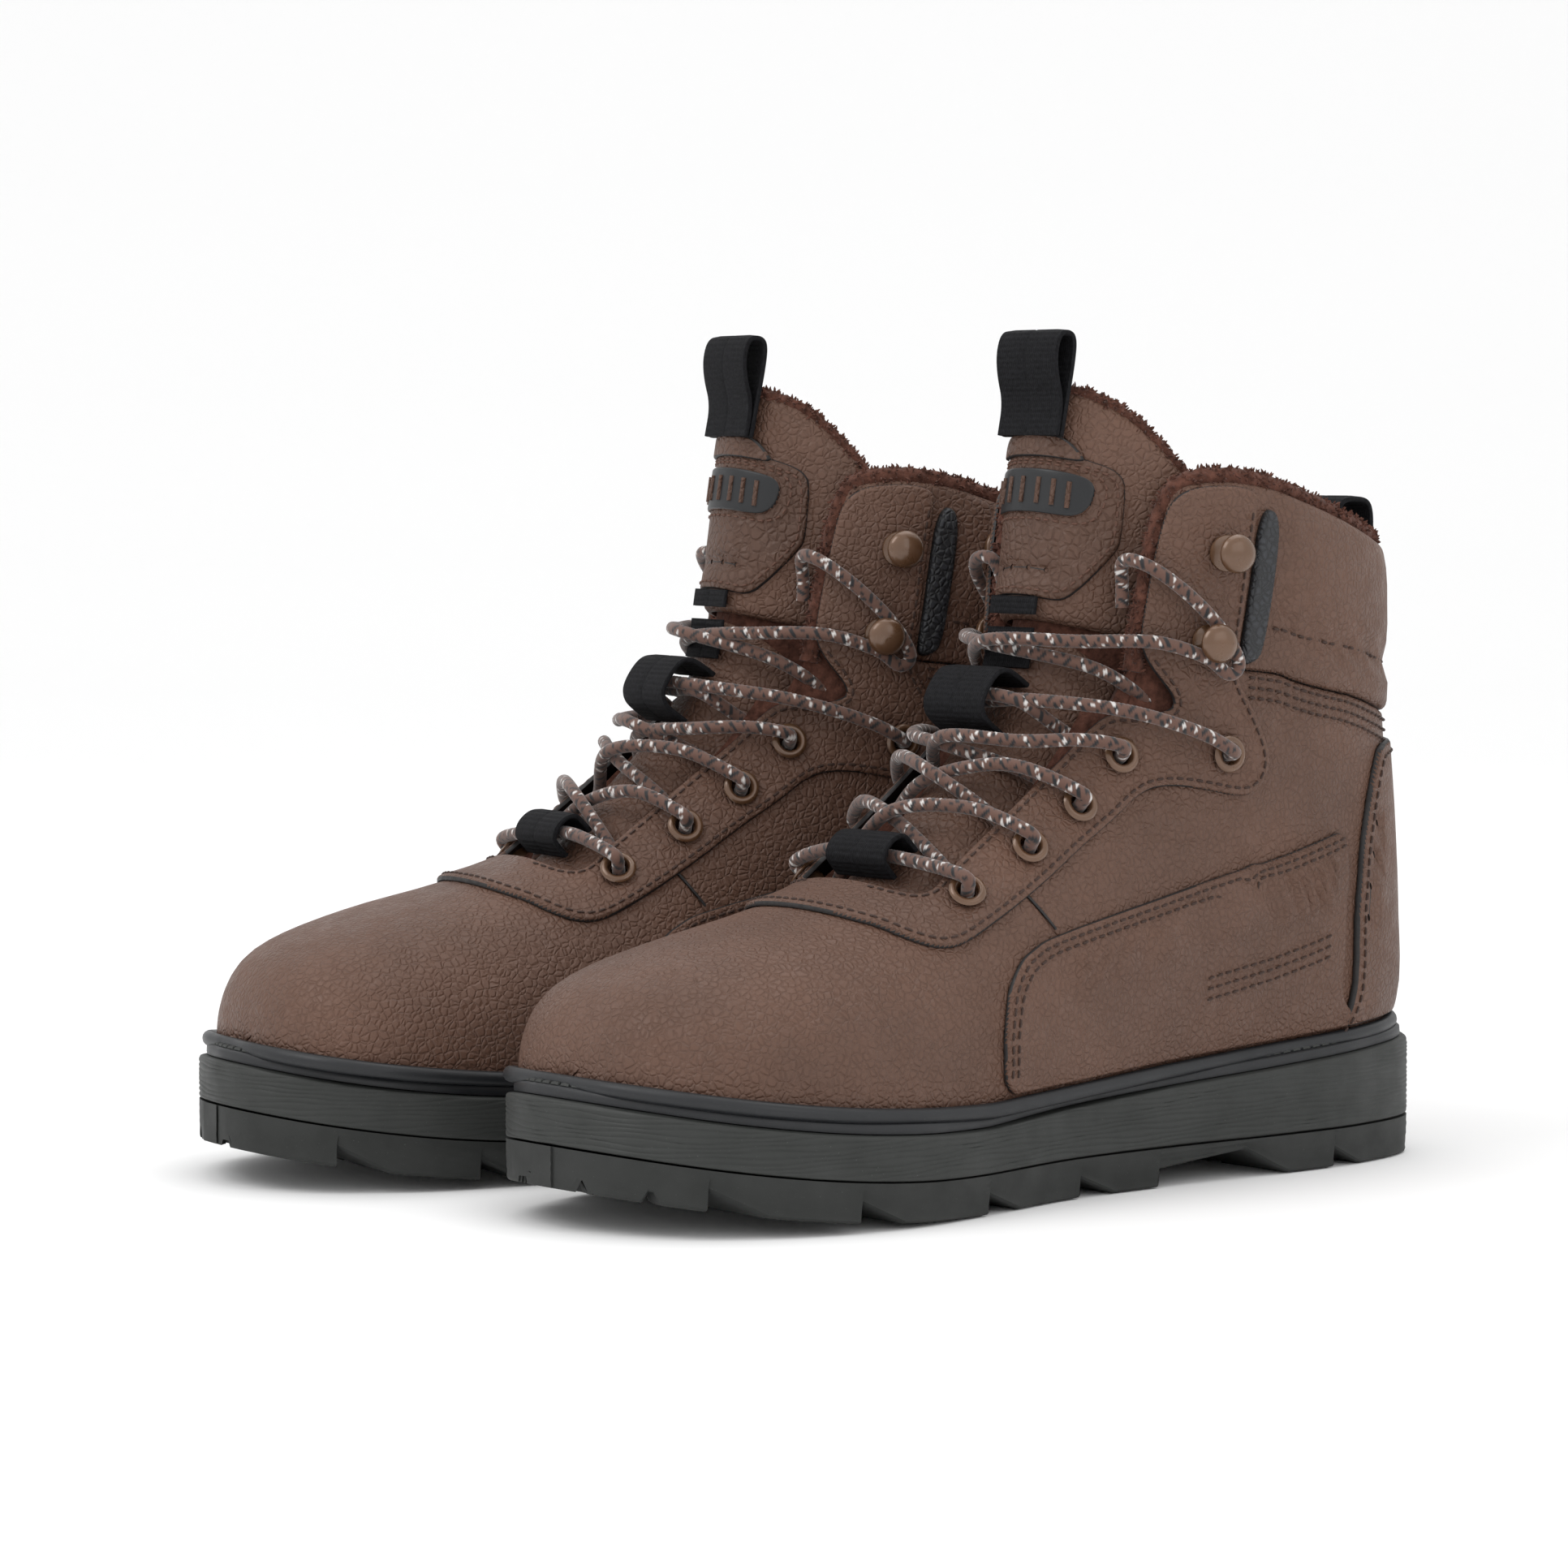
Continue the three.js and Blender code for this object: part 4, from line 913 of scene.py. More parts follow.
def build_midsole():
    """The sole's sidewall, with fine ridges that wander a little."""
    p, outward, at = sole_outline(620)
    low, high = parting(p[:, 1]) + GAP, sole_top(p[:, 1])
    rings = [ring(p, outward, 14, low), ring(p, outward, 1.2, low)]
    levels = np.linspace(0, 1, 76)
    for share in levels:
        z = low + (high - low) * (0.012 + 0.976 * share)
        round_edge = 0.9 * (1 - round_off((1 - share) * 9)) + 0.6 * (1 - round_off(share * 12))
        quiet = smooth((1 - share) * 12) * smooth(share * 10)
        cut = size_of("ridge_depth") * (1 - ridge_relief(at, z)) * quiet
        rings.append(ring(p, outward, round_edge + cut, z))
    rings += [ring(p, outward, 1.6, high), ring(p, outward, 14, high)]
    dress("midsole_ridged", loft(rings), [finish("midsole")], replaced=["midsole"],
          sharp=math.radians(75))


def tread(y):
    """Height of the tread's underside above the ground along the sole."""
    z = toe_lift(y)
    for notch in NOTCHES:
        share = (y - notch) / NOTCH_RUN
        z = np.where((share >= 0) & (share <= 1), toe_lift(y) + TREAD_DEPTH * (1 - share), z)
    for (y0, z0), (y1, z1) in zip(ARCH, ARCH[1:]):
        z = np.where((y >= y0) & (y <= y1), z0 + (z1 - z0) * (y - y0) / (y1 - y0), z)
    share = (y - HEEL_NOTCH[0]) / (HEEL_NOTCH[1] - HEEL_NOTCH[0])
    return np.where((share >= 0) & (share <= 1), TREAD_DEPTH * (1 - share), z)


def build_outsole():
    """The rubber tread, cut by notches, the arch, a middle groove and lug gaps."""
    p, _, _ = sole_outline(1400)
    ends = HALF_SOLE * np.sin(np.linspace(-math.pi / 2, math.pi / 2, 170))
    steps = [y + e for y in (*NOTCHES, ARCH[0][0], HEEL_NOTCH[0]) for e in (-0.25, 0.15)]
    y = np.unique(np.r_[ends[1:-1], steps, [n + NOTCH_RUN for n in NOTCHES], [a[0] for a in ARCH[1:]]])
    right, left = p[p[:, 0] > 0], p[p[:, 0] <= 0]
    right, left = right[right[:, 1].argsort()], left[left[:, 1].argsort()]
    x1, x0 = np.interp(y, right[:, 1], right[:, 0]), np.interp(y, left[:, 1], left[:, 0])
    share = np.r_[0, 0.006, 0.02, np.linspace(0.05, 0.95, 37), 0.98, 0.994, 1]
    low, high = tread(y)[:, None], parting(y)[:, None]
    under = np.zeros((len(y), len(share))) + low
    across = x0[:, None] + (x1 - x0)[:, None] * share
    mid_groove = (np.abs(across) < 2.6) & (y[:, None] < 20) & (y[:, None] > -122)
    lugs = (np.abs(np.mod(y[:, None] + np.abs(across) * 0.55, 19.0) - 9.5) < 1.5) & (np.abs(across) < 30)
    under = np.where(mid_groove | (lugs & (low < toe_lift(y)[:, None] + 0.4)), under + 3.2, under)
    edge = 0.9 * (1 - round_off(np.minimum(share, 1 - share) * 40))
    under = under + edge
    taper = 0.985
    walls = np.linspace(0, 1, 12)
    rows = []
    for k in range(len(y)):
        bottom = np.stack([across[k] * taper, np.full(len(share), y[k]), under[k]], 1)
        z = under[k, -1] + (high[k] - under[k, -1]) * walls[1:]
        swell = taper + (1 - taper) * smooth(walls[1:] * 1.4)
        cut = 0.22 * np.abs(np.sin(math.pi * (z + 0.5 * np.sin(y[k] / 19)) / size_of("ridge")))
        up = np.stack([x1[k] * swell - cut, np.full(11, y[k]), z], 1)
        down = np.stack([x0[k] * swell + cut, np.full(11, y[k]), z], 1)[::-1]
        rows.append(np.vstack([bottom, up, down]))
    shape = loft(np.array(rows)[::-1])
    dress("outsole_lugged", shape, [finish("tread")], replaced=["outsole"],
          sharp=math.radians(35))


def level_line(height):
    """Rows and angles where the upper stands this high above the sole, lateral side, toe to heel."""
    s, a = np.meshgrid(np.linspace(0, 14, 420), np.linspace(0.3, math.pi, 420), indexing="ij")
    p = last_point(s, a)
    over = p[..., 2] - sole_top(p[..., 1]) - height
    found = []
    for k in range(len(s)):
        below = np.nonzero(over[k] < 0)[0]
        if len(below) == 0:
            found.append((s[k, 0], math.pi))
            break
        j = below[0]
        t = over[k, j - 1] / (over[k, j - 1] - over[k, j])
        found.append((s[k, 0], a[k, j - 1] + t * (a[k, j] - a[k, j - 1])))
    return np.array(found)


WELT_HEIGHT = 3.0
WELT_SEAM_INSET = 4.1
BEAD_WIDTH = 3.9
BEAD_HEIGHT = 4.3
BEAD_RISE = 5.3
BEAD_LIFT = 2.2


def build_welt():
    """The sewn strip round the sole's top and the rounded bead where the upper meets it."""
    p, outward, _ = sole_outline(360)
    z = sole_top(p[:, 1])
    top = GAP + WELT_HEIGHT
    profile = [(16, GAP), (2.3, GAP), (2.2, 1.0), (2.3, 2.6), (2.8, 3.05), (4.2, top), (16, top)]
    rings = [ring(p, outward, inset, z + up) for inset, up in profile]
    seam_p, seam_out, _ = sole_outline(178)
    centre = ring(seam_p, seam_out, WELT_SEAM_INSET, sole_top(seam_p[:, 1]) + top + 0.05)
    run = unit(np.roll(centre, -1, 0) - np.roll(centre, 1, 0))
    side = unit(np.cross(np.tile((0.0, 0.0, 1.0), (len(run), 1)), run))
    sewn = bars(centre, run, side, np.cross(run, side), 3.4, 1.5).painted(1)
    dress("welt_sewn", joined([loft(rings), sewn]), [finish("rubber"), finish("midsole")],
          replaced=["welt"])
    bead = level_line(BEAD_RISE)
    closed = np.vstack([bead, (bead * (1, -1))[::-1]])
    path = on_last(closed[:, 0], closed[:, 1], BEAD_LIFT)
    loop = np.vstack([path, path[:1]])
    path, _ = even_steps(loop, 2.0)
    path = path[:-1]
    for _ in range(3):
        path = (np.roll(path, 1, 0) + path * 2 + np.roll(path, -1, 0)) / 4
    run = unit(np.roll(path, -1, 0) - np.roll(path, 1, 0))
    side = unit(np.cross(run, (0.0, 0.0, 1.0)))
    up = np.cross(side, run)
    angle = np.arange(14) / 14 * 2 * math.pi
    across = BEAD_WIDTH / 2 * np.cos(angle)[:, None] * side[:, None]
    rings = path[:, None] + across + BEAD_HEIGHT / 2 * np.sin(angle)[:, None] * up[:, None]
    ring_rows = np.vstack([rings, rings[:1]])
    dress("rand_bead", loft(ring_rows, caps=False), [finish("rubber")], replaced=["rand"])


# ---- the upper ----
EYELETS = ((7.9, 0.74), (9.3, 0.84), (10.4, 0.9), (11.5, 0.9), (13.0, 1.31))
HOOKS = {"lower": (14.4, 1.14), "upper": (16.0, 1.21)}
THROAT_TOE = ((6.02, 0.0), (6.05, 0.2), (6.2, 0.42))  # rows and angles at the eyestay's toe end
THROAT_END = ((7.42, 0.56), (7.1, 0.42), (6.98, 0.2))
EYESTAY_LOW = (
    (-64, 77.5), (-59, 74), (-51, 71), (-41, 73), (-25, 81), (-9, 90), (11, 102), (24, 111), (33, 112.3),
    (44, 111), (58, 108), (64, 110), (68, 116), (67, 123), (61, 134), (56, 141), (56, 149), (58, 161),
    (62, 188), (62, 195))
EYESTAY_HIGH = (
    (44, 195.5), (37, 192), (34, 183), (31, 167), (28.5, 153), (30, 146), (38, 135), (34, 132.5),
    (27, 131.5), (20, 132.5), (14, 129.5), (2, 119), (-14, 107), (-36, 91))
COLLAR_TOP = ((36, 193), (42, 196.5), (58, 197), (85, 190.5), (117, 180.5))
COLLAR_SEAM = ((34, 147), (56, 144), (84, 139.5), (111, 135))
OVERLAY_TOP = (
    (-36, 42), (-35.5, 50), (-33, 60), (-27, 67.5), (-18, 72), (-5, 75), (25, 81), (49, 86), (74, 91),
    (98, 97))
UPPER_THICKNESS = 2.0
OVERLAY_THICKNESS = 1.6
SKIN_RISE = 3.5  # the vamp's and quarters' lower edge above the sole
OVERLAY_RISE = 7.7  # the overlays' lower edge above the sole, clear of the bead


def dressed_leather(name, shape, replaced=(), main="leather", body="boot"):
    return dress(name, shape, [finish(main), finish("edge")], replaced, body)


def eyestay_outline():
    """The eyestay from side to side round the toe end of the throat."""
    low, high = line(*EYESTAY_LOW), line(*EYESTAY_HIGH)
    half = np.vstack([THROAT_TOE, low, high, THROAT_END])
    return np.vstack([half, medial(half)[:-1]])


def build_vamp():
    """The plain leather over the toes, up to the eyestay."""
    low = level_line(SKIN_RISE)[::4]
    edge = low[low[:, 0] <= 9.0]
    top = line((-12, 75), (-24, 90), (-46, 79))
    half = np.vstack([[(-0.45, edge[0, 1])], edge, line((-7, 40), (-8, 62)), top, [(6.6, 0.5), (6.6, 0.0)]])
    outline = np.vstack([half, medial(half)[1:]])
    skin = panel(outline, -UPPER_THICKNESS, UPPER_THICKNESS, spacing=4.5)
    dressed_leather("vamp_skin", skin, replaced=["vamp"])


def build_quarters():
    """The leather round the heel and sides, with the short seam beside the eyestay."""
    low = level_line(SKIN_RISE)[::4]
    seam = line((-9, 40), (-10, 62), (-13, 75), (-23, 89))
    rear = line(*COLLAR_SEAM)
    start = seam[0, 0]
    edge = low[low[:, 0] > start][::-1]
    half = np.vstack([edge, seam, line((10, 107), (40, 116), (58, 121), (50, 134)), rear,
                      [(back_row(133), math.pi)]])
    outline = np.vstack([half, around_heel(half)[1:]])
    skin = panel(outline, -UPPER_THICKNESS, UPPER_THICKNESS, spacing=4.5)
    dressed_leather("quarter_skin", skin, replaced=["quarters"])
    lines = []
    for side in (1, -1):
        seam_line = line((-20, 85), (-12.5, 75)) * (1, side)
        path = spread(seam_line, 1.0)
        lines.append(tube(on_last(path[:, 0], path[:, 1], 0.05), 0.4, 8).painted(1))
    dress("short_seam", joined(lines), [finish("edge"), finish("edge")])


def build_collar():
    """The padded collar, pressed in along its sewn channel."""
    top, seam = line(*COLLAR_TOP), line(*COLLAR_SEAM)
    half = np.vstack([line((31, 160), (33, 176)), top, [(back_row(178.3), math.pi)]])
    under = np.vstack([seam, [(back_row(133.4), math.pi)]])
    outline = np.vstack([half, around_heel(half)[1:], around_heel(under)[::-1], under[::-1][1:]])
    channel = line((62, 156), (86, 152), (110, 148.5))
    channel = np.vstack([channel, [(back_row(147.5), math.pi)], around_heel(channel)])
    groove = spread(chaikin(channel, False), 2.0)
    groove_line = last_point(groove[:, 0], groove[:, 1])

    def swell(here, d):
        behind = smooth((here[:, 1] - 66) / 14)
        dip = 1 - np.exp(-(reach(here, groove_line, False) / 4.2) ** 2)
        return 2.6 * behind * round_off(d / 13) * dip

    shape = panel(outline, -UPPER_THICKNESS, UPPER_THICKNESS, spacing=3.2, rounding=1.6, relief=swell)
    dressed_leather("collar_padded", shape, replaced=["collar"])
    rows = []
    for dz, lift in ((-2.2, 0.45), (-5.0, 0.4), (-7.8, 0.4)):
        lateral = line((60, 144 + dz), (84, 139.5 + dz), (108, 135.3 + dz))
        row = np.vstack([lateral, [(back_row(133.4 + dz), math.pi)], around_heel(lateral)])
        rows.append(stitches(chaikin(row, False), lift, length=size_of("stitch")))
    rows.append(stitches(groove[3:-3], 0.6, length=size_of("stitch")))
    dress("collar_stitching", joined(rows), [finish("thread")])


def build_eyestay():
    """The panel that frames the throat and carries eyelets and hooks."""
    outline = eyestay_outline()
    holes = [(s, a * side, 3.0) for s, a in EYELETS for side in (1, -1)]
    shape = panel(outline, GAP, OVERLAY_THICKNESS, spacing=3.4, rounding=1.2, holes=holes)
    dressed_leather("eyestay_panel", shape, replaced=["eyestay"])
    low, high = line(*EYESTAY_LOW), line(*EYESTAY_HIGH)
    rows = []
    for side in (1, -1):
        outer = np.vstack([THROAT_TOE, low[:-1]])
        inner = np.vstack([high, THROAT_END])
        for path, offset in ((outer, 2.1), (inner[5:], 2.0)):
            moved = shifted(spread(chaikin(path, False), 2.0), offset) * (1, side)
            rows.append(stitches(moved, 2.05, length=size_of("stitch")))
    dress("eyestay_stitching", joined(rows), [finish("thread")])


def build_overlays():
    """The side panels with three raised ribs and rows of stitches."""
    top = fine_line(*OVERLAY_TOP)
    rear = line((101, 90), (99, 72), (98, 50))
    start = float(line((-36, 36))[0, 0])
    edge = level_line(OVERLAY_RISE)
    edge = edge[(edge[:, 0] > start + 0.1) & (edge[:, 0] < 12.2)][::5]
    lateral = np.vstack([top, rear, edge[::-1], line((-36, 36))])
    ribs = [fine_line((-6, 75 - d), (25, 81 - d), (60, 88 - d), (94, 95 - d)) for d in (8.5, 12.5, 16.5)]
    for side, word in ((1, "lateral"), (-1, "medial")):
        rib_lines = [last_point(*(spread(chaikin(r, False), 2.0) * (1, side)).T) for r in ribs]

        def ribbed(here, d):
            near = np.min([reach(here, rib, False) for rib in rib_lines], axis=0)
            return 1.5 * np.exp(-(near / 1.4) ** 2)

        outline = lateral * (1, side)
        shape = panel(outline, GAP, 1.5, spacing=1.3, rounding=1.1, relief=ribbed)
        rows = []
        for offset in (-2.0, -4.2):
            path = shifted(spread(chaikin(np.vstack([line((-36, 36)), top]), False), 2.0), offset)
            rows.append(stitches(path * (1, side), 1.98, length=size_of("stitch")))
        for d in (0, 3, 6):
            path = fine_line((44, 58 - d), (70, 62 - d), (94, 67.5 - d)) * (1, side)
            rows.append(stitches(chaikin(path, False), 1.98, length=size_of("stitch")))
        dressed_leather(f"overlay_{word}_panel", shape, replaced=[f"overlay_{word}"])
        dress(f"overlay_{word}_stitching", joined(rows), [finish("thread")])


def build_heel():
    """The heel counter with its dark edge and vent holes."""
    front = line((102, 40), (102.5, 70), (107, 92), (112.5, 112), (120, 124))
    top = [(back_row(126.5), math.pi)]
    edge = level_line(OVERLAY_RISE)
    start = float(front[0, 0])
    edge = edge[edge[:, 0] > start + 0.3][::4]
    half = np.vstack([edge[::-1], front, top])
    outline = np.vstack([half, around_heel(half)[1:]])
    vents = [(*locate(y, z), 0.9) for y, z in ((117, 98), (115, 89), (113, 80), (112, 71))]
    holes = vents + [(s, 2 * math.pi - a, r) for s, a, r in vents]
    shape = panel(outline, GAP, 1.7, spacing=3.0, rounding=1.3, holes=holes, rim=1.1)
    dressed_leather("heel_counter_panel", shape, replaced=["heel_counter"])
    path = shifted(spread(chaikin(np.vstack([front, top, around_heel(front)]), False), 2.0), -3.2)
    dress("heel_stitching", stitches(path, 2.2, length=size_of("stitch")), [finish("thread")])


def build_ankle_strips():
    """The black strip behind the hooks, on both sides of the boot."""
    shapes = []
    outline = line((63.5, 189), (70.5, 188), (68.5, 170), (64.5, 149), (62, 146), (57, 145), (57, 150),
                   (60, 168))
    for side in (1, -1):
        shapes.append(panel(outline * (1, side), 0.2, 1.9, spacing=2.5, rounding=1.4))
    dress("ankle_strip", joined(shapes), [finish("strip_leather"), finish("edge")])


# ---- eyelets and hooks ----
EYELET_PROFILE = (
    (3.5, -3), (3.5, 2.4), (5, 2.45), (5.2, 2.8), (4.8, 3.35), (4.1, 3.65), (3.4, 3.5), (2.95, 3.0),
    (2.9, -3))
HOOK_PROFILE = (
    (0, -1.8), (1.5, -1.8), (1.5, 2.2), (5, 2.2), (5.2, 2.6), (5, 3.1), (3.2, 3.5), (2.15, 4.6), (2.1, 7.6),
    (3.2, 8.2), (5.1, 8.5), (5.5, 9.1), (5.4, 9.9), (4.5, 10.9), (3.1, 11.5), (1.5, 11.8), (0, 11.9))


def build_hardware():
    """Each side's five eyelets and two hooks, turned from their (radius, height) profiles."""
    for side, word in ((1, "lateral"), (-1, "medial")):
        rings = [lathe(EYELET_PROFILE, 32, place_on(s, a * side)) for s, a in EYELETS]
        dress(f"eyelets_{word}", joined(rings), [finish("metal")], [f"eyelet_row_{word}"])
        for level, (s, a) in HOOKS.items():
            hook = lathe(HOOK_PROFILE, 36, place_on(s, a * side))
            dress(f"hook_{level}_{word}_domed", hook, [finish("metal")],
                  replaced=[f"hook_{level}_{word}"])


# ---- tongue ----
LINING_IN = -7.4
TONGUE_WING = LINING_IN - 2.4
FOLD_ROW = 12.9
FOLD_GAP = 0.1
WING_ROW = 11.75
CROWN_LOWER = -4.8
CROWN_UPPER = -0.8
TONGUE_THICKNESS = 4.0


def tongue_lift(s, a):
    """Height of the tongue over the last: high at the crown, low at the wings."""
    crown = CROWN_LOWER + (CROWN_UPPER - CROWN_LOWER) * smooth((s - 11.5) / 2)
    share = smooth(np.abs(a) / np.where(s > WING_ROW, 0.74, 0.62))
    return crown + (TONGUE_WING - crown) * share


def tongue_half(s):
    """Half of the tongue's angle."""
    return 0.86 + 0.46 * np.clip((s - 8) / 6, 0, 1)


def tongue_top(a):
    """The row of the tongue's rounded top edge."""
    return 18.05 - 1.35 * (np.abs(a) / 1.32) ** 2.2


def tongue_grid(from_row, to_row, rows, columns):
    """Rows and angles of a tongue part between two edges."""
    turn = np.linspace(-1, 1, columns)[None]
    t = np.linspace(0, 1, rows)[:, None]
    guess = from_row(0.0) + (to_row(0.0) - from_row(0.0)) * t
    a = turn * tongue_half(guess)
    return from_row(a) + (to_row(a) - from_row(a)) * t, a


def padded_slab(s, a, puff):
    """A padded panel: full in the middle, and rounded off where its edges are sewn."""
    rows, columns = s.shape
    here = last_point(s, a)
    rim = np.vstack([here[0], here[:, -1], here[-1][::-1], here[:, 0][::-1]])
    d = reach(here.reshape(-1, 3), rim, True).reshape(rows, columns)
    lift = tongue_lift(s, a)
    top = lift - 1.4 * (1 - round_off(d / 3.5)) + puff * round_off(d / 15)
    low = lift - TONGUE_THICKNESS + 1.4 * (1 - round_off(d / 3.5))
    shape = slab(on_last(s, a, top), on_last(s, a, low))
    shape.finish[1] = np.ones(len(shape.faces[1]), int)
    return shape


def build_gusset():
    """A fleece strip inside the tongue's fold."""
    t = np.linspace(0, 1, 40)[:, None]
    a = np.linspace(-1.2, 1.2, 60)[None] + 0 * t
    s = 12.2 + (1.35 + 1.8 * (a / 1.3) ** 2) * t
    under = tongue_lift(s, a) - TONGUE_THICKNESS - 0.25
    shape = slab(on_last(s, a, under), on_last(s, a, under - 0.8))
    for prefix, side in SIDES:
        strip = add_piece(f"{prefix}_tongue_gusset", shape, side, [finish("fleece")])
        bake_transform(strip)


def build_tongue():
    """The tongue's two padded parts, its fleece edge, fold strip, patch and badge."""
    faced = [finish("leather"), finish("fleece")]
    s, a = tongue_grid(lambda x: 6.9 + 0 * x, lambda x: FOLD_ROW - FOLD_GAP + 0 * x, 90, 60)
    dress("tongue_lower_padded", padded_slab(s, a, 0.4), faced, ["tongue_lower"])
    s, a = tongue_grid(lambda x: FOLD_ROW + FOLD_GAP + 1.8 * (x / 1.3) ** 2, tongue_top, 80, 80)
    dress("tongue_upper_padded", padded_slab(s, a, 0.5), faced, ["tongue_upper"],
          body="tongue_body")
    rim_s = np.r_[np.linspace(15.4, s[-1, 0], 30)[:-1], s[-1], np.linspace(s[-1, -1], 15.4, 30)[1:]]
    rim_a = np.r_[np.full(29, a[-1, 0]), a[-1], np.full(29, a[-1, -1])]
    path = on_last(rim_s, rim_a, tongue_lift(rim_s, rim_a) - 2.1)
    dress("tongue_fleece", fleece_roll(path, 2.1, 11), [finish("fleece")], body="tongue_body")
    build_gusset()
    build_patch()


PATCH_HALF = (
    (16.55, 0.0), (16.55, 0.44), (16.5, 0.56), (16.3, 0.62), (15.2, 0.63), (14.9, 0.6), (13.75, 0.36),
    (13.55, 0.3), (13.45, 0.22), (13.45, 0.0))
TAB_HALF = ((16.45, 0.0), (16.45, 0.36), (16.7, 0.3), (16.92, 0.22), (17.02, 0.1), (17.02, 0.0))
BADGE_HALF = (
    (16.28, 0.0), (16.28, 0.38), (16.2, 0.47), (16.0, 0.5), (15.5, 0.47), (15.2, 0.38), (15.12, 0.25),
    (15.12, 0.0))


def whole(half):
    """The closed outline of a piece that is the same on both sides of the front rail."""
    half = np.array(half)
    return np.vstack([half, medial(half)[1:-1]])


def build_patch():
    """The sewn patch on the tongue, its tab, the ribbed badge and their stitches."""
    base = tongue_lift
    outline = whole(PATCH_HALF)
    holes = [(14.05, a, 0.75) for a in (-0.17, -0.055, 0.055, 0.17)]
    patch = panel(outline, GAP + 0.2, 1.5, spacing=2.5, rounding=1.0, base=base, holes=holes, soften=1)
    tab = panel(whole(TAB_HALF), 2.2, 1.1, spacing=2.5, rounding=0.7, base=base)
    dress("tongue_patch_leather", joined([patch, tab]), [finish("patch_leather"), finish("edge")],
          ["tongue_patch"], body="tongue_body")
    badge_outline = whole(BADGE_HALF)
    inner = badge_outline * (1, 0.86)
    inner[:, 0] = 15.7 + (inner[:, 0] - 15.7) * 0.84
    badge = panel(inner, 2.05, 1.0, spacing=2.0, rounding=0.8, base=base)
    ribs = []
    for a in (-0.27, -0.18, -0.09, 0.0, 0.09, 0.18, 0.27):
        s = np.linspace(15.42, 15.98, 12)
        path = on_last(s, np.full(12, a), base(s, np.full(12, a)) + 3.05)
        ribs.append(tube(path, 0.75, 8, flat=1.0).painted(1))
    dress("tongue_badge_ribbed", joined([badge, *ribs]), [finish("badge"), finish("patch_leather")],
          ["tongue_badge"], body="tongue_body")
    rows = []
    for ring_path, offset in ((outline, 2.0), (badge_outline, -0.3)):
        loop = chaikin(ring_path, True, 2)
        loop = spread(loop if winding(loop) > 0 else loop[::-1], 1.5, closed=True)
        moved = shifted(loop, offset, closed=True)
        rows.append(stitches(np.vstack([moved, moved[:1]]), 2.05, pitch=2.7, length=1.9, base=base))
    dress("patch_stitching", joined(rows), [finish("light_thread")], body="tongue_body")


# ---- fleece ----
def fleece_roll(path, radius, seed, flat=1.0):
    """A rolled edge of pile along a path."""
    path, along = even_steps(path, 1.1)
    around = 12
    rng = np.random.default_rng(seed)
    lumps = rng.normal(0, 0.14, (len(path), around))
    lumps = (lumps + np.roll(lumps, 1, 0) + np.roll(lumps, 1, 1)) / 1.8
    roll = tube(path, radius - 0.35 + lumps, around, flat)
    skin = roll.verts[:len(path) * around].reshape(len(path), around, 3)
    count = int(len(path) * around * 0.9)
    i, j = rng.integers(1, len(path), count), rng.integers(0, around, count)
    t, u = rng.random((2, count, 1))
    k = (j + 1) % around
    one, other = (skin[i, column] * (1 - t) + skin[i - 1, column] * t for column in (j, k))
    at = one * (1 - u) + other * u
    normal = unit(at - (path[i] * (1 - t) + path[i - 1] * t))
    return joined([roll, tufts(at, normal, size_of("pile"), 0.75, seed + 1)])


def build_lining():
    """The fleece lining and its rolled edge round the boot's opening."""
    s = np.linspace(5.0, 17.6, 110)[:, None] + np.zeros(120)
    a = np.linspace(0.62, 2 * math.pi - 0.62, 120)[None] + np.zeros((110, 1))
    rim = line(*((y, z - 1.5) for y, z in ((20, 134), (30, 150), (31, 167), *COLLAR_TOP)))
    top_half = np.array([*rim, (back_row(177), math.pi)])
    angles = np.r_[top_half[:, 1], 2 * math.pi - top_half[::-1, 1]]
    tops = np.r_[top_half[:, 0], top_half[::-1, 0]]
    order = angles.argsort()
    reach_row = np.interp(a[0], angles[order], tops[order])
    s = 5.0 + (reach_row[None] - 5.0) * (s - 5.0) / 12.6
    rng = np.random.default_rng(3)
    fuzz = rng.normal(0, 0.25, s.shape)
    shape = slab(on_last(s, a, -3.0 + 0 * s), on_last(s, a, LINING_IN + fuzz))
    dress("lining_fleece", shape, [finish("fleece")], ["lining"])
    edge = line((27, 143), (28.5, 153), (31, 167), (34, 183), (37, 192.5), (43, 196.5), (58, 197),
                (85, 190.7), (117, 180.7))
    half = np.vstack([edge, [(back_row(178.5), math.pi)]])
    loop = chaikin(np.vstack([half, around_heel(half)[1:]]), False, 3)
    loop = spread(loop, 1.5)
    path = on_last(loop[:, 0], loop[:, 1], -3.4)
    path[:, 2] += 1.0
    dress("collar_fleece", fleece_roll(path, 3.3, 21), [finish("fleece")])


def build_footbed():
    """The loose fleece footbed, and finishes for the board and shank beneath it."""
    p, outward, _ = sole_outline(220)
    p = p * (0.98, 1)
    low = sole_top(p[:, 1]) + 2.6
    rng = np.random.default_rng(5)
    rings = [ring(p, outward, inset, low + up) for inset, up in (
        (40, 0.0), (15.5, 0.0), (14.6, 0.6), (14.4, 3.6), (15.2, 4.7), (18, 5.0), (24, 5.0), (30, 5.0),
        (38, 5.0))]
    rings = np.array(rings)
    rings[3:, :, 2] += rng.normal(0, 0.12, rings[3:, :, 2].shape)
    dress("footbed_fleece", loft(rings), [finish("fleece")], ["footbed"], body="footbed_body")
    for prefix, _ in SIDES:
        for node, look in (("insole_board", "board"), ("shank", "steel")):
            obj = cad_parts[f"{prefix}_{node}"]
            obj.data.materials.clear()
            obj.data.materials.append(finish(look))


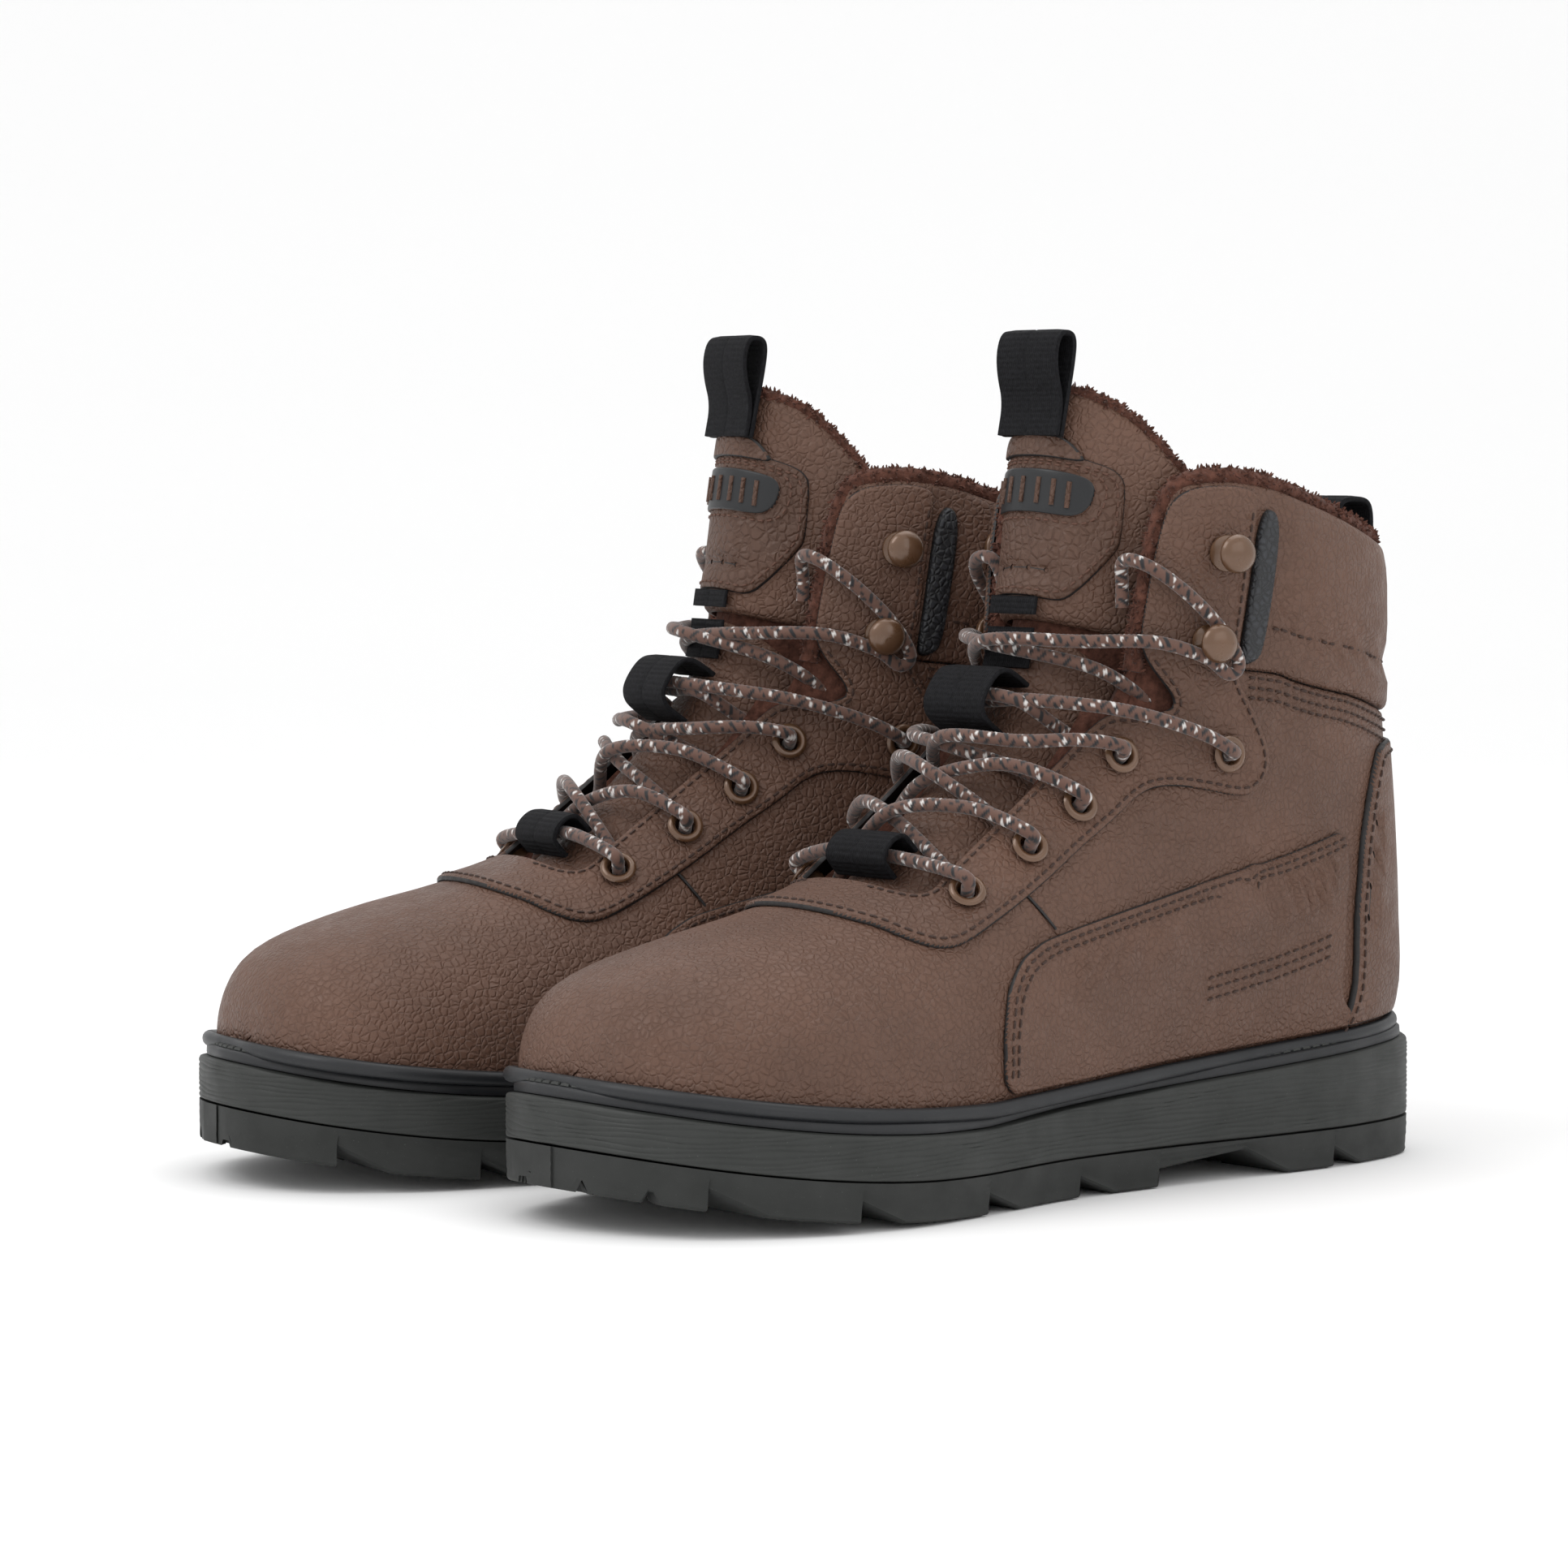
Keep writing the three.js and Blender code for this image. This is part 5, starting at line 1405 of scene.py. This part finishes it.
# ---- webbing ----
WEBBING_WIDTH = 25.0
WEBBING_THICKNESS = 1.6


def strap(path, outward, width=WEBBING_WIDTH, thickness=WEBBING_THICKNESS, closed=False):
    """Ribbed webbing swept along a path; outward is the face's direction at each point."""
    t = np.roll(path, -1, 0) - np.roll(path, 1, 0) if closed else np.gradient(path, axis=0)
    across = unit(np.cross(t, outward))
    face = unit(np.cross(across, t))
    run = np.r_[0, np.cumsum(np.linalg.norm(np.diff(path, axis=0), axis=1))]
    rib = 0.24 * np.abs(np.sin(math.pi * run / size_of("rib"))) - 0.1
    x = np.array([-0.5, -0.49, -0.35, -0.2, -0.03, 0, 0.03, 0.2, 0.35, 0.49, 0.5])
    top = np.array([0.1, 0.42, 0.5, 0.5, 0.5, 0.4, 0.5, 0.5, 0.5, 0.42, 0.1])
    rings = []
    for k in range(len(path)):
        high = top * thickness + rib[k] * (top > 0.45)
        upper = path[k] + np.outer(x * width, across[k]) + np.outer(high, face[k])
        lower = path[k] + np.outer(x[::-1] * width, across[k]) - np.outer(high[::-1], face[k])
        rings.append(np.vstack([upper, lower]))
    rings = np.array(rings)
    if closed:
        return loft(np.vstack([rings, rings[:1]]), caps=False)
    return loft(rings)


def strap_in(place, profile, **extra):
    """Webbing whose side view is a list of (up the boot, outward) points in a frame on the last."""
    origin, side, along, normal = place
    pts = chaikin(np.array(profile, float), False, 3)
    path = origin + np.outer(pts[:, 0], along) + np.outer(pts[:, 1], normal)
    path, _ = even_steps(path, 0.3)
    mid = origin + along * np.mean(pts[:, 0]) + normal * np.mean(pts[:, 1])
    tangent = unit(np.gradient(path, axis=0))
    outward = np.cross(side, tangent)
    if ((path - mid) * outward).sum() < 0:
        outward = -outward
    return strap(path, outward, **extra)


def build_webbing():
    """The pull loops, the lace keepers and the strap down the tongue."""
    webbing = [finish("webbing"), finish("light_thread")]
    loop_place = place_on(18.1, 0.0, CROWN_UPPER + 0.9)
    front = strap_in(loop_place, [(-14.6, 0.8), (-4, 0.8), (8, 0.8), (13.6, 1.6), (14.6, 4.2), (13.4, 7.2),
                                  (8, 7.8), (2, 6.2), (-5, 2.6), (-14.6, 2.5)])
    dress("pull_loop_front_webbing", front, webbing, ["pull_loop_front"], body="front_loop_body")
    rear_y = float(row_values(np.array(17.6))[2])
    out, inside_y = rear_y + 1.6, rear_y + LINING_IN - 3
    top = 178 + 14
    half = WEBBING_THICKNESS / 2
    heel = [(162.5, out + half), (180, out + half), (top - 4, out + half), (top - half, out - 1.6),
            (top - half, inside_y + 1.6), (top - 4, inside_y - half), (180, inside_y - half),
            (164.5, inside_y - half)]
    origin = np.zeros(3)
    heel_place = (origin, np.array((-1.0, 0, 0)), np.array((0, 0, 1.0)), np.array((0, 1.0, 0)))
    dress("pull_loop_heel_webbing", strap_in(heel_place, heel), webbing, ["pull_loop_heel"])
    low = strap_in(place_on(7.75, 0.0, CROWN_LOWER + 0.8), [
        (-5.2, half), (-5.2, 6), (-4.6, 7.6), (-2, 9.1), (2, 9.1), (4.6, 7.6), (5.2, 6), (5.2, half)])
    dress("keeper_low_webbing", low, webbing, ["keeper_low"])
    middle = strap_in(place_on(11.15, 0.0, CROWN_LOWER + 0.75), [
        (-8.2, half), (-8.2, 7), (-7.4, 10.5), (-4, 12.9), (4, 12.9), (7.4, 10.5), (8.2, 7), (8.2, half)])
    dress("keeper_mid_webbing", middle, webbing, ["keeper_mid"])
    for name, start, end, body in (("tongue_strap_lower", 12.0, 12.78, "boot"),
                                   ("tongue_strap_upper", 13.05, 13.42, "tongue_body")):
        s = np.linspace(start, end, 60)
        path = on_last(s, 0 * s, tongue_lift(s, 0 * s) + 0.9)
        shape = strap(path, last_normal(s, 0 * s), width=19, thickness=1.2)
        dress(name, shape, webbing, body=body)


# ---- stage ----
LENS = 119.25
CAMERA_TURN = math.radians(56)
CAMERA_RISE = math.radians(3.6)
CAMERA_REACH = 1.455
CAMERA_TARGET = Vector((0.0237, -0.0307, 0.112))


def build_camera():
    """A long lens, low and to the side of the toes."""
    camera = bpy.data.objects.new("camera", bpy.data.cameras.new("camera"))
    camera.data.lens = LENS
    camera.data.sensor_width = 36
    camera.data.clip_end = 50
    level = math.cos(CAMERA_RISE)
    back = Vector((math.sin(CAMERA_TURN) * level, -math.cos(CAMERA_TURN) * level, math.sin(CAMERA_RISE)))
    camera.location = CAMERA_TARGET + back * CAMERA_REACH
    camera.rotation_euler = back.to_track_quat("Z", "Y").to_euler()
    bpy.context.scene.collection.objects.link(camera)
    bpy.context.scene.camera = camera


def area_light(name, place, target, size, power):
    data = bpy.data.lights.new(name, "AREA")
    data.shape = "RECTANGLE"
    data.size, data.size_y = size
    data.energy = power
    light = bpy.data.objects.new(name, data)
    light.location = place
    light.rotation_euler = (Vector(place) - Vector(target)).to_track_quat("Z", "Y").to_euler()
    bpy.context.scene.collection.objects.link(light)


BEND_RADIUS = 1.5
DAYLIGHT = 0.97
KEY_POWER = 13
FILL_POWER = 3
TOP_POWER = 9


def build_stage():
    """A pale sheet that bends up behind the boots, even daylight and three soft lamps."""
    mesh = bpy.data.meshes.new("floor")
    half, back, high, bend = 6.0, 3.5, 5.0, 8
    rows = [(-half, 0.0), (back - BEND_RADIUS, 0.0)]
    for t in np.linspace(0.2, math.pi / 2, bend):
        along = back - BEND_RADIUS + BEND_RADIUS * math.sin(t)
        rows.append((along, BEND_RADIUS - BEND_RADIUS * math.cos(t)))
    rows.append((back, high))
    verts = [(x, y, z - 0.0002) for y, z in rows for x in (-half, half)]
    faces = [(2 * k, 2 * k + 1, 2 * k + 3, 2 * k + 2) for k in range(len(rows) - 1)]
    mesh.from_pydata(verts, [], faces)
    floor = bpy.data.objects.new("floor", mesh)
    floor.rotation_euler = (0, 0, CAMERA_TURN)
    paper = Finish("floor_paper", (0.93, 0.93, 0.93), 0.9)
    mesh.materials.append(paper.bump((paper.noise(40.0), 0.03, 0.001)))
    mesh.shade_smooth()
    bpy.context.scene.collection.objects.link(floor)
    world = bpy.data.worlds.new("studio")
    world.use_nodes = True
    world.node_tree.nodes["Background"].inputs["Color"].default_value = (1, 1, 1, 1)
    world.node_tree.nodes["Background"].inputs["Strength"].default_value = DAYLIGHT
    bpy.context.scene.world = world
    bpy.context.scene.view_settings.view_transform = "Standard"
    area_light("key", (-0.1, -1.5, 1.7), (0, 0, 0.1), (1.2, 1.2), KEY_POWER)
    area_light("fill", (1.9, 0.2, 0.9), (0, 0, 0.1), (1.4, 1.0), FILL_POWER)
    area_light("top", (0.0, 0.4, 2.0), (0, 0, 0.1), (1.6, 1.6), TOP_POWER)


# ---- operators ----
class BOOTS_OT_camera(bpy.types.Operator):
    """Places the camera at the height and turn of a product view"""
    bl_idname = "boots.camera"
    bl_label = "Camera"
    bl_options = {"REGISTER", "UNDO"}

    def execute(self, context):
        build_camera()
        return {"FINISHED"}


class BOOTS_OT_laces(bpy.types.Operator):
    """Threads a braided lace through each boot"""
    bl_idname = "boots.laces"
    bl_label = "Laces"
    bl_options = {"REGISTER", "UNDO"}

    def execute(self, context):
        build_laces()
        return {"FINISHED"}


class BOOTS_OT_midsole(bpy.types.Operator):
    """Builds the ridged sidewalls of the soles"""
    bl_idname = "boots.midsole"
    bl_label = "Midsoles"
    bl_options = {"REGISTER", "UNDO"}

    def execute(self, context):
        build_midsole()
        return {"FINISHED"}


class BOOTS_OT_outsole(bpy.types.Operator):
    """Builds the lugged rubber treads"""
    bl_idname = "boots.outsole"
    bl_label = "Outsoles"
    bl_options = {"REGISTER", "UNDO"}

    def execute(self, context):
        build_outsole()
        return {"FINISHED"}


class BOOTS_OT_welt(bpy.types.Operator):
    """Builds the sewn welt strips and the rounded beads above them"""
    bl_idname = "boots.welt"
    bl_label = "Welts and rands"
    bl_options = {"REGISTER", "UNDO"}

    def execute(self, context):
        build_welt()
        return {"FINISHED"}


class BOOTS_OT_vamp(bpy.types.Operator):
    """Builds the plain toe leather"""
    bl_idname = "boots.vamp"
    bl_label = "Vamps"
    bl_options = {"REGISTER", "UNDO"}

    def execute(self, context):
        build_vamp()
        return {"FINISHED"}


class BOOTS_OT_quarters(bpy.types.Operator):
    """Builds the leather behind the vamps"""
    bl_idname = "boots.quarters"
    bl_label = "Quarters"
    bl_options = {"REGISTER", "UNDO"}

    def execute(self, context):
        build_quarters()
        return {"FINISHED"}


class BOOTS_OT_collar(bpy.types.Operator):
    """Builds the padded collars and their sewn channels"""
    bl_idname = "boots.collar"
    bl_label = "Collars"
    bl_options = {"REGISTER", "UNDO"}

    def execute(self, context):
        build_collar()
        return {"FINISHED"}


class BOOTS_OT_eyestay(bpy.types.Operator):
    """Builds the panels that carry the eyelets and hooks"""
    bl_idname = "boots.eyestay"
    bl_label = "Eyestays"
    bl_options = {"REGISTER", "UNDO"}

    def execute(self, context):
        build_eyestay()
        return {"FINISHED"}


class BOOTS_OT_overlays(bpy.types.Operator):
    """Builds the side overlays"""
    bl_idname = "boots.overlays"
    bl_label = "Overlays"
    bl_options = {"REGISTER", "UNDO"}

    def execute(self, context):
        build_overlays()
        return {"FINISHED"}


class BOOTS_OT_heel(bpy.types.Operator):
    """Builds the heel counters with their vent holes"""
    bl_idname = "boots.heel"
    bl_label = "Heel counters"
    bl_options = {"REGISTER", "UNDO"}

    def execute(self, context):
        build_heel()
        return {"FINISHED"}


class BOOTS_OT_ankle_strips(bpy.types.Operator):
    """Builds the black strips behind the hooks"""
    bl_idname = "boots.ankle_strips"
    bl_label = "Ankle strips"
    bl_options = {"REGISTER", "UNDO"}

    def execute(self, context):
        build_ankle_strips()
        return {"FINISHED"}


class BOOTS_OT_hardware(bpy.types.Operator):
    """Turns the metal eyelets and lace hooks"""
    bl_idname = "boots.hardware"
    bl_label = "Eyelets and hooks"
    bl_options = {"REGISTER", "UNDO"}

    def execute(self, context):
        build_hardware()
        return {"FINISHED"}


class BOOTS_OT_tongue(bpy.types.Operator):
    """Builds the padded tongues, their patches and badges"""
    bl_idname = "boots.tongue"
    bl_label = "Tongues"
    bl_options = {"REGISTER", "UNDO"}

    def execute(self, context):
        build_tongue()
        return {"FINISHED"}


class BOOTS_OT_lining(bpy.types.Operator):
    """Builds the fleece linings and their rolled edges"""
    bl_idname = "boots.lining"
    bl_label = "Linings"
    bl_options = {"REGISTER", "UNDO"}

    def execute(self, context):
        build_lining()
        return {"FINISHED"}


class BOOTS_OT_footbed(bpy.types.Operator):
    """Builds the footbeds and finishes the boards and shanks"""
    bl_idname = "boots.footbed"
    bl_label = "Footbeds"
    bl_options = {"REGISTER", "UNDO"}

    def execute(self, context):
        build_footbed()
        return {"FINISHED"}


class BOOTS_OT_webbing(bpy.types.Operator):
    """Builds the pull loops, lace keepers and tongue straps"""
    bl_idname = "boots.webbing"
    bl_label = "Webbing"
    bl_options = {"REGISTER", "UNDO"}

    def execute(self, context):
        build_webbing()
        return {"FINISHED"}


class BOOTS_OT_stage(bpy.types.Operator):
    """Sets up the pale floor and the soft studio light"""
    bl_idname = "boots.stage"
    bl_label = "Stage"
    bl_options = {"REGISTER", "UNDO"}

    def execute(self, context):
        build_stage()
        return {"FINISHED"}


OPERATORS = (
    BOOTS_OT_camera, BOOTS_OT_laces, BOOTS_OT_midsole, BOOTS_OT_outsole,
    BOOTS_OT_welt, BOOTS_OT_vamp, BOOTS_OT_quarters, BOOTS_OT_collar,
    BOOTS_OT_eyestay, BOOTS_OT_overlays, BOOTS_OT_heel, BOOTS_OT_ankle_strips,
    BOOTS_OT_hardware, BOOTS_OT_tongue, BOOTS_OT_lining, BOOTS_OT_footbed,
    BOOTS_OT_webbing, BOOTS_OT_stage,
)


class BOOTS_PT_panel(bpy.types.Panel):
    """The boots' pieces, with the sizes and colours that they use"""
    bl_label = "Hunting boots"
    bl_idname = "BOOTS_PT_panel"
    bl_space_type = "VIEW_3D"
    bl_region_type = "UI"
    bl_category = "Boots"

    def draw(self, context):
        for group in (context.scene.boot_sizes, context.scene.boot_colours):
            box = self.layout.box()
            for name in group.bl_rna.properties.keys():
                if name not in ("rna_type", "name"):
                    box.prop(group, name)
        for item in OPERATORS:
            self.layout.operator(item.bl_idname)


CLASSES = (BootColours, BootSizes, *OPERATORS, BOOTS_PT_panel)


def register():
    """Makes the classes and the user sizes and colours known."""
    for item in CLASSES:
        bpy.utils.register_class(item)
    bpy.types.Scene.boot_sizes = bpy.props.PointerProperty(type=BootSizes)
    bpy.types.Scene.boot_colours = bpy.props.PointerProperty(type=BootColours)


def unregister():
    """Takes away what register() made."""
    del bpy.types.Scene.boot_sizes
    del bpy.types.Scene.boot_colours
    for item in reversed(CLASSES):
        bpy.utils.unregister_class(item)


def main():
    register()
    for item in OPERATORS:
        getattr(bpy.ops.boots, item.bl_idname.removeprefix("boots."))()
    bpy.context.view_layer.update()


if __name__ == "__main__":
    main()
